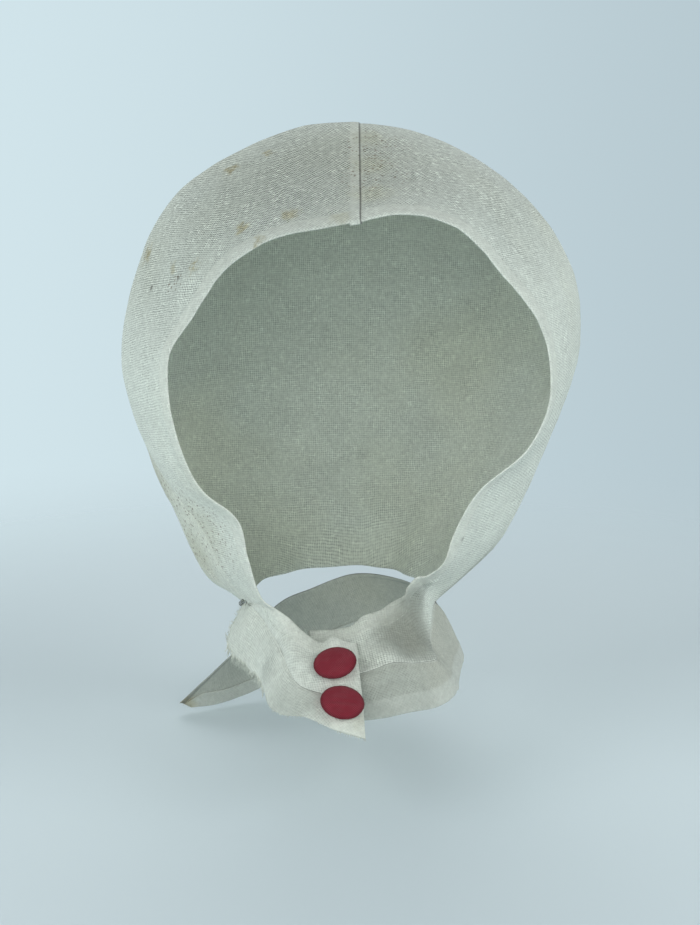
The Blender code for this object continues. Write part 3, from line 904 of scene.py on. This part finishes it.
def knot(name, place, count, material, node, seed):
    """A tangle of short curled threads."""
    draw = random.Random(seed)
    shape = bmesh.new()
    for number in range(count):
        heart = place + Vector([draw.uniform(-0.5, 0.5) * KNOT_REACH for axis in range(3)])
        first = Vector([draw.uniform(-1.0, 1.0) for axis in range(3)]).normalized()
        second = first.orthogonal().normalized()
        size = KNOT_REACH * draw.uniform(0.2, 0.6)
        span = draw.uniform(2.5, 6.0)
        path = []
        for step in range(KNOT_STEPS + 1):
            turn = span * step / KNOT_STEPS
            path.append(heart + (first * math.cos(turn) + second * math.sin(turn)) * size
                        + first.cross(second) * (size * 0.25 * step / KNOT_STEPS))
        add_thread(shape, path, THREAD, tip=0.7)
    return finish_threads(name, shape, material, node)


# Materials

def join(tree, value, socket):
    """Leads another node's output into a socket, or sets the socket's own value."""
    if isinstance(value, bpy.types.NodeSocket):
        tree.links.new(value, socket)
    else:
        socket.default_value = value


def new_node(tree, kind, inputs, **settings):
    """Adds a node with its settings and joins its inputs, each given by its name or number."""
    node = tree.nodes.new("ShaderNode" + kind)
    for name, setting in settings.items():
        setattr(node, name, setting)
    for key, value in inputs.items():
        join(tree, value, node.inputs[key])
    return node


def new_material(name, roughness, shine):
    """A new material, with its nodes and its main shader."""
    material = bpy.data.materials.new(name)
    material.use_nodes = True
    shader = material.node_tree.nodes["Principled BSDF"]
    shader.inputs["Roughness"].default_value = roughness
    shader.inputs["Specular IOR Level"].default_value = shine
    return material, material.node_tree, shader


def calc(tree, operation, *values):
    return new_node(tree, "Math", dict(enumerate(values)), operation=operation).outputs[0]


def vector_calc(tree, operation, *values):
    node = new_node(tree, "VectorMath", dict(enumerate(values)), operation=operation)
    return node.outputs["Value" if operation in ("DISTANCE", "LENGTH") else "Vector"]


def between(tree, value, low, high, first=0.0, last=1.0):
    """Brings a value from low..high to first..last, smoothly and clamped."""
    inputs = {"Value": value, "From Min": low, "From Max": high, "To Min": first, "To Max": last}
    return new_node(tree, "MapRange", inputs, interpolation_type="SMOOTHSTEP").outputs["Result"]


def clouds(tree, place, scale, detail=2.0):
    return new_node(tree, "TexNoise", {"Vector": place, "Scale": scale, "Detail": detail}).outputs["Fac"]


def blend_colours(tree, share, first, second, blend="MIX"):
    inputs = {"Factor": share, 6: first, 7: second}
    return new_node(tree, "Mix", inputs, data_type="RGBA", blend_type=blend).outputs[2]


def toned(tree, colour, tone):
    """A colour made lighter or darker by a tone."""
    grey = new_node(tree, "CombineColor", {0: tone, 1: tone, 2: tone}).outputs[0]
    return blend_colours(tree, 1.0, colour, grey, "MULTIPLY")


def object_place(tree):
    return tree.nodes.new("ShaderNodeTexCoord").outputs["Object"]


def flat_place(tree):
    """The place on the flat cloth."""
    return new_node(tree, "UVMap", {}, uv_map="cloth").outputs["UV"]


def attribute(tree, name):
    return new_node(tree, "Attribute", {}, attribute_name=name).outputs["Fac"]


def relief_of(tree, height, distance):
    """Makes small relief catch the light."""
    return new_node(tree, "Bump", {"Strength": 0.5, "Distance": distance, "Height": height}).outputs[0]


def mix_into(material, share, first, second):
    """Shows two shaders as one, with a share of the second."""
    tree = material.node_tree
    mixed = new_node(tree, "MixShader", {0: share, 1: first, 2: second})
    join(tree, mixed.outputs[0], tree.nodes["Material Output"].inputs["Surface"])


def thread_waves(tree, place, pitch):
    """Two waves that cross, one for each way that the threads run."""
    split = new_node(tree, "SeparateXYZ", {0: place})
    return [calc(tree, "SINE", calc(tree, "MULTIPLY", split.outputs[axis], math.pi / pitch)) for axis in "XY"]


# Stains and specks on the cloth, and one painted shade at the neck: place and radius in metres,
# strength, and colour
Mark = namedtuple("Mark", "place radius strength colour")
RUST = (0.31, 0.27, 0.13, 1.0)
SOOT = (0.13, 0.13, 0.11, 1.0)
STRAW = (0.40, 0.405, 0.29, 1.0)
ROSE = (0.46, 0.30, 0.29, 1.0)
PAINTED_NECK_SHADE = (0.255, 0.262, 0.215, 1.0)
SMALL_STAIN = 0.003
BAND_STAINS_AND_SHADE = table(Mark, [
    ((-0.0608, -0.0091, -0.0241), 0.0062, 0.80, RUST),
    ((-0.0421, -0.0093, -0.0155), 0.0052, 0.60, RUST),
    ((-0.1061, -0.0041, -0.0677), 0.0068, 0.75, RUST),
    ((-0.0889, -0.0377, -0.0722), 0.0045, 0.50, RUST),
    ((-0.0759, -0.0548, -0.0710), 0.0055, 0.80, RUST),
    ((-0.0520, -0.0615, -0.0514), 0.0052, 0.70, RUST),
    ((-0.0285, -0.0700, -0.0450), 0.0072, 0.60, RUST),
    ((-0.0424, -0.0780, -0.0563), 0.0048, 0.60, RUST),
    ((-0.1015, -0.0249, -0.0832), 0.0024, 0.80, SOOT),
    ((-0.0855, -0.0457, -0.0766), 0.0022, 0.70, SOOT),
    ((0.0567, -0.0543, -0.2079), 0.0024, 0.85, SOOT),
    ((-0.0047, -0.0828, -0.0459), 0.0080, 0.50, STRAW),
    ((0.0100, -0.0120, -0.0060), 0.0130, 0.42, STRAW),
    ((0.0105, -0.0380, -0.0202), 0.0150, 0.42, STRAW),
    ((0.0105, -0.0650, -0.0360), 0.0140, 0.45, STRAW),
    ((-0.0768, -0.0279, -0.2106), 0.0260, 0.30, STRAW),
    # Painted shade at the right of the neck, for the shade under the chin: not a stain.
    ((0.0310, -0.0530, -0.2570), 0.0300, 0.62, PAINTED_NECK_SHADE),
    ((-0.0078, -0.0830, -0.2640), 0.0150, 0.32, ROSE),
    ((-0.0074, -0.0972, -0.2800), 0.0145, 0.25, ROSE),
])
CROWN_STAINS = table(Mark, [
    ((-0.1050, 0.0050, -0.1900), 0.0260, 0.45, STRAW),
    ((-0.0800, 0.0050, -0.2300), 0.0260, 0.40, STRAW),
])
SHORT_STAINS = table(Mark, [
    ((-0.0074, -0.0972, -0.2800), 0.0150, 0.30, ROSE),
    ((0.0050, -0.1090, -0.2880), 0.0100, 0.30, STRAW),
])
LONG_STAINS = table(Mark, [
    ((-0.1001, 0.0529, -0.3411), 0.0110, 0.55, RUST),
])

# Where many tiny dark specks lie: place and reach in metres
Specks = namedtuple("Specks", "place reach")
BAND_SPECKS = table(Specks, [
    ((-0.0768, -0.0279, -0.2106), 0.040),
    ((0.0119, -0.0200, -0.0110), 0.024),
    ((0.0119, -0.0480, -0.0270), 0.024),
    ((-0.0860, -0.0450, -0.0780), 0.012),
])
CROWN_SPECKS = table(Specks, [((-0.0850, 0.0000, -0.2100), 0.050)])

# Painted shade: where the single cloth is painted greyer, for the dark head and neck that would show
# through it, the shade under the chin, the darker left of the band, and shaded places on the crown
# and collar strips. Place, full and last reach in metres, strength, and how much more the threads
# stand out from their darker gaps there
Shade = namedtuple("Shade", "place inner outer strength relief")
SHADE_COLOUR = (0.33, 0.36, 0.32, 1.0)
PALE_THREAD = (0.54, 0.57, 0.50, 1.0)
DARK_THREAD = (0.16, 0.17, 0.15, 1.0)
# Painted shade on the band: over the head, on its left, and at the neck below the chin; the last mostly calms
# the threads.
BAND_SHADES = table(Shade, [
    ((-0.020, -0.050, -0.010), 0.020, 0.100, 0.80, 0.55),
    ((0.060, -0.030, -0.030), 0.020, 0.075, 0.30, 0.90),
    ((-0.085, -0.030, -0.060), 0.020, 0.090, 0.45, 0.45),
    ((0.030, -0.055, -0.258), 0.006, 0.026, 1.00, -0.13),
    ((0.034, -0.046, -0.246), 0.004, 0.016, 0.90, -0.04),
    ((-0.035, -0.068, -0.262), 0.020, 0.045, 0.10, -1.30),
])
# Painted shade on the crown's lower right.
CROWN_SHADES = table(Shade, [
    ((0.070, 0.000, -0.245), 0.008, 0.035, 0.60, 0.00),
])
# On the short strip: a darker, more open-woven patch, and painted shade on its lower front.
SHORT_SHADES = table(Shade, [
    ((-0.042, -0.068, -0.273), 0.003, 0.010, 0.35, 0.50),
    ((-0.030, -0.094, -0.288), 0.005, 0.025, 0.48, 0.00),
])
# Painted shade on the long strip's front below the chin, and on its loose end at the back.
LONG_SHADES = table(Shade, [
    ((0.020, -0.090, -0.280), 0.010, 0.040, 0.75, 0.02),
    ((-0.080, 0.055, -0.330), 0.010, 0.060, 0.38, 0.00),
])

# How one cloth differs from the next: colours where it lies single and double, how much light
# comes through, and how strongly its threads stand out from the gaps between them. The crown's
# colours are set lighter, partly as painted light for its shaded inside, and the long strip's
# darker, partly as painted shade below the hood.
Linen = namedtuple("Linen", "colour double_colour see_through relief")
BAND_LINEN = Linen((0.640, 0.680, 0.615, 1.0), (0.655, 0.690, 0.620, 1.0), 0.20, 0.23)
CROWN_LINEN = Linen((0.690, 0.725, 0.655, 1.0), (0.690, 0.715, 0.635, 1.0), 0.28, 0.18)
SHORT_LINEN = Linen((0.545, 0.580, 0.520, 1.0), (0.610, 0.645, 0.575, 1.0), 0.12, 0.10)
LONG_LINEN = Linen((0.440, 0.458, 0.398, 1.0), (0.505, 0.532, 0.478, 1.0), 0.12, 0.08)


# The weave: how far apart its threads lie and how far they waver, and the scale of its slubs, grain
# and specks
WEAVE_PITCH = 0.0013
THREAD_WAVER = 0.0012
STAIN_WAVER = 0.012
SLUB_SCALE = 1250.0
SLUB_STRETCH = 0.18
GRAIN_SCALE = 420.0
SPECK_SCALE = 420.0
SPECK_STRENGTH = 0.85
SPECK_COLOUR = (0.16, 0.12, 0.08, 1.0)
WARM_CAST = (1.0, 0.975, 0.90, 1.0)


def near(tree, place, spot, inner, outer, strength):
    """How strongly a spot is felt at a place: fully within inner, not at all past outer."""
    return between(tree, vector_calc(tree, "DISTANCE", place, spot), inner, outer, strength, 0.0)


def slubs_of(tree, flat):
    """Thicker stretches of the threads, along both ways of the cloth."""
    both = []
    for stretch in ((SLUB_STRETCH, 1.0, 1.0), (1.0, SLUB_STRETCH, 1.0)):
        drawn = vector_calc(tree, "MULTIPLY", flat, stretch)
        both.append(between(tree, clouds(tree, drawn, SLUB_SCALE, 1.0), 0.48, 0.76))
    return calc(tree, "SUBTRACT", calc(tree, "ADD", *both), 0.45)


def shaded(tree, place, layers, look, shades):
    """The cloth's colour and the relief of its threads, where it lies single, double or in a painted shade.
    """
    base = blend_colours(tree, layers, look.colour, look.double_colour)
    single = calc(tree, "MULTIPLY_ADD", calc(tree, "MINIMUM", layers, 1.0), -0.30, 1.0)
    relief = look.relief
    for shade in shades:
        share = near(tree, place, shade.place, shade.inner, shade.outer, shade.strength)
        share = calc(tree, "MULTIPLY", share, single)
        base = blend_colours(tree, share, base, SHADE_COLOUR)
        relief = calc(tree, "MULTIPLY_ADD", share, shade.relief, relief)
    uneven = between(tree, clouds(tree, place, 90.0), 0.35, 0.65, 0.55, 1.30)
    relief = calc(tree, "MULTIPLY", relief, uneven)
    return base, calc(tree, "MULTIPLY", relief, between(tree, layers, 0.0, 1.0, 1.0, 0.35))


def seam_shade(tree, layers):
    """Painted shade: how dark the cloth is at the edge of a seam, and still a little at the centre seam."""
    seam_edge_shade = between(tree, layers, 1.1, SEAM_SHADE_EDGE, 1.0, 0.45)
    return calc(tree, "MULTIPLY", seam_edge_shade, between(tree, layers, SEAM_SHADE_EDGE, CREASE_SHADE, 1.0, 0.70))


def stained_and_shaded(tree, base, place, wavering, stains_and_shade):
    # A mark may be a stain or the painted shade at the neck.
    for mark in stains_and_shade:
        where = wavering if mark.radius > SMALL_STAIN else place
        share = near(tree, where, mark.place, mark.radius * 0.15, mark.radius, mark.strength)
        base = blend_colours(tree, share, base, mark.colour)
    return base


def speckled(tree, base, place, specks):
    """Adds tiny dark dots that come in drifts."""
    cell = new_node(tree, "TexVoronoi", {"Vector": place, "Scale": SPECK_SCALE})
    dots = between(tree, cell.outputs["Distance"], 0.14, 0.36, 1.0, 0.0)
    thick = between(tree, clouds(tree, place, 110.0), 0.36, 0.50)
    for zone in specks:
        drift = near(tree, place, zone.place, zone.reach * 0.4, zone.reach, SPECK_STRENGTH)
        share = calc(tree, "MULTIPLY", drift, thick)
        base = blend_colours(tree, calc(tree, "MULTIPLY", dots, share), base, SPECK_COLOUR)
    return base


def linen(name, look, stains_and_shade=(), shades=(), specks=()):
    """Open plain-woven linen: threads, slubs, clouds of tone, stains and specks, and painted shade."""
    material, tree, shader = new_material(name, 0.92, 0.12)
    flat = flat_place(tree)
    place = object_place(tree)
    waver = new_node(tree, "TexNoise", {"Vector": flat, "Scale": 240.0}).outputs["Color"]
    centred = vector_calc(tree, "SUBTRACT", waver, (0.5, 0.5, 0.5))
    shift = vector_calc(tree, "MULTIPLY", centred, (THREAD_WAVER, THREAD_WAVER, 0.0))
    across, along = thread_waves(tree, vector_calc(tree, "ADD", flat, shift), WEAVE_PITCH)
    gaps = [between(tree, calc(tree, "ABSOLUTE", wave), 0.0, 0.85, 1.0, 0.0) for wave in (across, along)]
    lines = calc(tree, "SUBTRACT", calc(tree, "ADD", *gaps), 0.70)
    lines = calc(tree, "ADD", lines, calc(tree, "MULTIPLY", *gaps))
    slubs = slubs_of(tree, flat)
    patches = calc(tree, "SUBTRACT", clouds(tree, place, 55.0, 3.0), 0.5)
    grain = calc(tree, "SUBTRACT", clouds(tree, place, GRAIN_SCALE, 3.0), 0.5)

    layers = attribute(tree, "double")
    base, relief = shaded(tree, place, layers, look, shades)
    tone = calc(tree, "SUBTRACT", 1.02, calc(tree, "MULTIPLY", lines, relief))
    tone = calc(tree, "MULTIPLY_ADD", slubs, calc(tree, "MULTIPLY_ADD", relief, 0.65, 0.05), tone)
    tone = calc(tree, "MULTIPLY_ADD", patches, 0.20, tone)
    tone = calc(tree, "MULTIPLY_ADD", grain, 0.40, tone)
    tone = calc(tree, "MULTIPLY", tone, seam_shade(tree, layers))

    cast = between(tree, clouds(tree, place, 9.0), 0.45, 0.70, 0.0, 0.5)
    base = blend_colours(tree, cast, base, WARM_CAST, "MULTIPLY")
    wavering = vector_calc(tree, "ADD", place, vector_calc(tree, "MULTIPLY", centred, (STAIN_WAVER,) * 3))
    base = stained_and_shaded(tree, base, place, wavering, stains_and_shade)
    base = toned(tree, speckled(tree, base, place, specks), tone)
    join(tree, base, shader.inputs["Base Color"])
    shader.inputs["Sheen Weight"].default_value = 0.15
    shader.inputs["Sheen Roughness"].default_value = 0.6

    over = calc(tree, "MULTIPLY_ADD", calc(tree, "MULTIPLY", across, along), 0.35, 1.0)
    height = calc(tree, "MULTIPLY", over, calc(tree, "SUBTRACT", 1.0, calc(tree, "MULTIPLY", lines, 0.40)))
    height = calc(tree, "MULTIPLY_ADD", slubs, 0.6, height)
    height = calc(tree, "MULTIPLY_ADD", grain, 1.2, height)
    relief_light = relief_of(tree, height, 0.00025)
    join(tree, relief_light, shader.inputs["Normal"])
    through = new_node(tree, "BsdfTranslucent", {"Color": base, "Normal": relief_light})
    mix_into(material, look.see_through, shader.outputs[0], through.outputs[0])
    return material


def loose_thread(name, colour):
    """Plain linen thread, a little uneven in tone along its length."""
    material, tree, shader = new_material(name, 0.9, 0.15)
    tone = between(tree, clouds(tree, object_place(tree), 500.0), 0.3, 0.7, 0.80, 1.15)
    join(tree, toned(tree, colour, tone), shader.inputs["Base Color"])
    return material


def button_cloth():
    """Fine red twill with pale dots, and painted shade that darkens it at the rim."""
    material, tree, shader = new_material("red_button_cloth", 0.78, 0.15)
    place = object_place(tree)
    weave = calc(tree, "MULTIPLY", *thread_waves(tree, flat_place(tree), TWILL_PITCH / 2.0))
    worn = between(tree, clouds(tree, place, 160.0), 0.38, 0.62, 0.15, 1.0)
    grain = clouds(tree, place, 1500.0)
    tone = calc(tree, "MULTIPLY_ADD", weave, 0.16, 0.80)
    tone = calc(tree, "MULTIPLY_ADD", grain, 0.20, tone)
    tone = calc(tree, "MULTIPLY_ADD", clouds(tree, place, 220.0), 0.25, tone)
    # Painted shade: the cloth is darkened towards the button's rim.
    tone = calc(tree, "MULTIPLY", tone, between(tree, attribute(tree, "rim"), 0.80, 1.0, 1.0, 0.55))
    dots = calc(tree, "MULTIPLY", calc(tree, "MULTIPLY", between(tree, weave, 0.25, 0.95), worn), 0.30)
    base = blend_colours(tree, dots, BUTTON_RED, BUTTON_DOTS)
    join(tree, toned(tree, base, tone), shader.inputs["Base Color"])
    shader.inputs["Sheen Weight"].default_value = 0.08
    relief_light = relief_of(tree, calc(tree, "MULTIPLY_ADD", weave, 0.6, grain), 0.0002)
    join(tree, relief_light, shader.inputs["Normal"])
    return material


def plain_paper():
    """The pale floor, which fades into the air at its rim."""
    material, tree, shader = new_material("plain_floor", 0.9, 0.5)
    shader.inputs["Base Color"].default_value = FLOOR_COLOUR
    level = vector_calc(tree, "MULTIPLY", object_place(tree), (1.0, 1.0, 0.0))
    clear = tree.nodes.new("ShaderNodeBsdfTransparent")
    fade = between(tree, vector_calc(tree, "LENGTH", level), 0.22, 0.85)
    mix_into(material, fade, shader.outputs[0], clear.outputs[0])
    return material


# A cloth piece as it was cut, before it was sewn and worn: width, length and area, and what it
# lies on where two pieces lap. No piece is given one here.
Cut = namedtuple("Cut", "width length area rests_on")


# The stage: floor, lights and camera

def lay_floor():
    shape = bmesh.new()
    bmesh.ops.create_circle(shape, cap_ends=True, radius=3.0, segments=64)
    bmesh.ops.translate(shape, verts=shape.verts, vec=(0.0, 0.0, FLOOR_DOWN))
    floor = keep("floor", shape, plain_paper())


def soft_air():
    """The light all round: pale and bluish near the floor, dimmer on the right and above."""
    world = bpy.data.worlds.new("soft_air")
    world.use_nodes = True
    tree = world.node_tree
    upward = new_node(tree, "SeparateXYZ", {0: tree.nodes.new("ShaderNodeTexCoord").outputs["Generated"]})
    side = between(tree, upward.outputs["X"], -0.35, 0.35)
    low_air = blend_colours(tree, side, AIR_LEFT, AIR_RIGHT)
    air = blend_colours(tree, between(tree, upward.outputs["Z"], 0.10, 0.60), low_air, AIR_ABOVE)
    join(tree, air, tree.nodes["Background"].inputs["Color"])
    return world


def hang_lamp(lamp):
    light = bpy.data.lights.new(lamp.name, "AREA")
    light.shape = "SQUARE"
    light.size = lamp.width
    light.energy = lamp.power
    hung = bpy.data.objects.new(lamp.name, light)
    hung.location = lamp.place
    hung.rotation_euler = (lamp.aim - Vector(lamp.place)).to_track_quat("-Z", "Y").to_euler()
    bpy.context.scene.collection.objects.link(hung)


def set_stage():
    """Floor, light and camera."""
    scene = bpy.context.scene
    scene.view_settings.view_transform = "Standard"
    lay_floor()
    scene.world = soft_air()
    for lamp in LAMPS:
        hang_lamp(lamp)
    camera = bpy.data.objects.new("camera", bpy.data.cameras.new("camera"))
    camera.data.lens = VIEW_LENS
    camera.data.sensor_width = SENSOR_WIDTH
    camera.data.sensor_fit = "AUTO"
    turn = math.radians(VIEW_RAISE)
    camera.location = VIEW_AIM + VIEW_DISTANCE * Vector((0.0, -math.cos(turn), math.sin(turn)))
    camera.rotation_euler = (math.radians(90.0 - VIEW_RAISE), 0.0, 0.0)
    scene.collection.objects.link(camera)
    scene.camera = camera


# Rows of the bands where their parts meet: the left neck's end, the centre seam, the right neck's end
LEFT_NECK = (len(NECK_LEFT) - 1) * STEPS_PER_ROW
CENTRE_ROW = LEFT_NECK + len(HOOD_LEFT) * STEPS_PER_ROW
RIGHT_NECK = CENTRE_ROW + len(HOOD_RIGHT) * STEPS_PER_ROW

# Where the short strip's foot is raw and frayed: first and last of its sections, how long the
# strands are and how densely they hang. The first stretch is also uneven.
Fray = namedtuple("Fray", "first last length density")
FOOT_FRAYS = table(Fray, [(0, 4, 0.0052, 1.8), (5, 7, 0.0014, 0.8), (8, 10, 0.0020, 1.0)])


def make_bands(both, cloth):
    """The two halves of the face band. The left one has the facing behind the buttons."""
    left = at_far_end(roll_in, both[:CENTRE_ROW + 1])
    left = turn_under(left, HEM_WIDTH)
    # The centre seam's fold carries the mark for painted crease shade.
    left = at_last_rows(turn_under, left, SEAM_TURN, 0.0, CREASE_SHADE)
    left = at_first_rows(turn_under, left, FACING_WIDTH)
    past_centre = transpose(list(reversed(both[:CENTRE_ROW + 1])))
    right = at_first_rows(lap_under, both[CENTRE_ROW:], past_centre)
    right = at_far_end(roll_in, right)
    right = turn_under(right, HEM_WIDTH)
    return (sew("linen_band_left", left, cloth, "band_left"),
            sew("linen_band_right", right, cloth, "band_right"))


def make_crown(seam, band_ends, cloth):
    """The rounded back, closed at its centre line and sewn under the bands."""
    sections = list(reversed(crown_sections(HOOD_LEFT, -1.0))) + crown_sections(HOOD_RIGHT, 1.0)[1:]
    rows = smooth_between(sections, STEPS_PER_ROW)
    follow(rows, seam[LEFT_NECK:RIGHT_NECK + 1])
    gather_nape(rows)
    count = len(rows) - 1
    for number in range(count // 2):
        meet = (rows[number][-1] + rows[count - number][-1]) / 2.0
        rows[number][-1] = meet
        rows[count - number][-1] = meet.copy()
    crown = [[point._replace(flat=round_back(point.place)) for point in line]
             for line in cloth_points(rows, outer=-1.0)]
    crown = crumpled(crown, calm="start")
    for number in range(count // 2):
        crown[count - number][-1] = crown[count - number][-1]._replace(place=crown[number][-1].place)
    crown = lap_under(crown, band_ends[LEFT_NECK:RIGHT_NECK + 1])
    return sew("linen_crown", crown, cloth, "crown", closed_back=True)


def make_short_collar(seam, band_ends, cloth):
    """The short strip, and its raw edges: its side end and parts of its foot."""
    rows = smooth_between(collar_sections(NECK_LEFT, HOOD_LEFT, -1.0), STEPS_PER_ROW)
    follow(rows, list(reversed(seam[:LEFT_NECK + 1])))
    short = folded(crumpled(cloth_points(rows), calm="start"), COLLAR_FOLDS)
    raw = FOOT_FRAYS[0].last * STEPS_PER_ROW
    short[0] = ragged(short[0], short[2], RAGGED, 1.0)
    short[1] = ragged(short[1], short[3], RAGGED * 0.7, 1.0)
    foot = ragged(column_of(short[:raw], -1), column_of(short[:raw], -3), RAGGED, 2.0)
    for line, point in zip(short, foot):
        line[-1] = point
    edges = [raw_edge(short[0], short[2], 0.0060, 1.7)]
    for fray in FOOT_FRAYS:
        part = short[fray.first * STEPS_PER_ROW:fray.last * STEPS_PER_ROW]
        edges.append(raw_edge(column_of(part, -1), column_of(part, -3), fray.length, fray.density))
    short = lap_under(short, list(reversed(band_ends[:LEFT_NECK + 1])))
    short = at_last_rows(turn_under, short, FACING_WIDTH)
    return sew("linen_collar_short", short, cloth, "collar_short"), edges


def make_long_collar(seam, band_ends, cloth):
    """The long strip round the back of the neck with its loose end, and that end's torn edge."""
    front = collar_sections(NECK_RIGHT, HOOD_RIGHT, 1.0)
    rows = smooth_between(list(reversed(front)) + strip_back_sections(), STEPS_PER_ROW)
    follow(rows, list(reversed(seam[RIGHT_NECK:])))
    long = folded(crumpled(cloth_points(rows), calm="start"), COLLAR_FOLDS)
    edges = [raw_edge(long[-1], long[-3], 0.0022, 1.0)]
    long = lap_under(long, list(reversed(band_ends[RIGHT_NECK:])))
    long = at_far_end(turn_under, long, FOOT_TURN)
    return sew("linen_collar_long", long, cloth, "collar_long"), edges


def hem_line(rows):
    """The line of points on the cloth that the hem's stitches follow."""
    points = [at_distance(line, runs_of(line), HEM_WIDTH * STITCH_SHARE) for line in rows[::2]]
    return [lifted(point, RAISE_BY) for point in points]


def dress_hood():
    """All the cloth of the hood, with its fringes, stitches and loose threads."""
    band_cloth = linen("band_linen", BAND_LINEN, BAND_STAINS_AND_SHADE, BAND_SHADES, BAND_SPECKS)
    crown_cloth = linen("crown_linen", CROWN_LINEN, CROWN_STAINS, CROWN_SHADES, CROWN_SPECKS)
    short_cloth = linen("short_collar_linen", SHORT_LINEN, SHORT_STAINS, SHORT_SHADES)
    long_cloth = linen("long_collar_linen", LONG_LINEN, LONG_STAINS, LONG_SHADES)
    thread = loose_thread("linen_thread", PALE_THREAD)
    dark_thread = loose_thread("grey_thread", DARK_THREAD)

    rows = band_rows()
    seam = column_of(rows, -1)
    both = folded(crumpled(cloth_points(rows, turned=BIAS, outer=-1.0)), BAND_FOLDS)
    band_ends = flipped(both)
    band_left, band_right = make_bands(both, band_cloth)
    crown = make_crown(seam, band_ends, crown_cloth)
    collar_short, short_edges = make_short_collar(seam, band_ends, short_cloth)
    collar_long, long_edges = make_long_collar(seam, band_ends, long_cloth)

    short_fringe = fringe("collar_short_fringe", short_edges, thread, "collar_short", 5)
    tail_fringe = fringe("collar_tail_fringe", long_edges, thread, "collar_long", 6)
    left_hem, right_hem = hem_line(both[:CENTRE_ROW]), hem_line(both[CENTRE_ROW + 1:])
    left_stitches = stitches("band_hem_stitches_left", left_hem, thread, "band_left", 7)
    right_stitches = stitches("band_hem_stitches_right", right_hem, thread, "band_right", 8)
    left_knot = knot("band_hem_knot", KNOT_PLACE, 16, dark_thread, "band_left", 11)
    loop = knot("band_thread_loop", LOOP_PLACE, 3, thread, "band_right", 12)


red_cloth = button_cloth()
cover_button("red_button_upper", "button_upper", red_cloth, 0.00010, 2.0)
cover_button("red_button_lower", "button_lower", red_cloth, 0.00022, 9.0)
dress_hood()
set_stage()
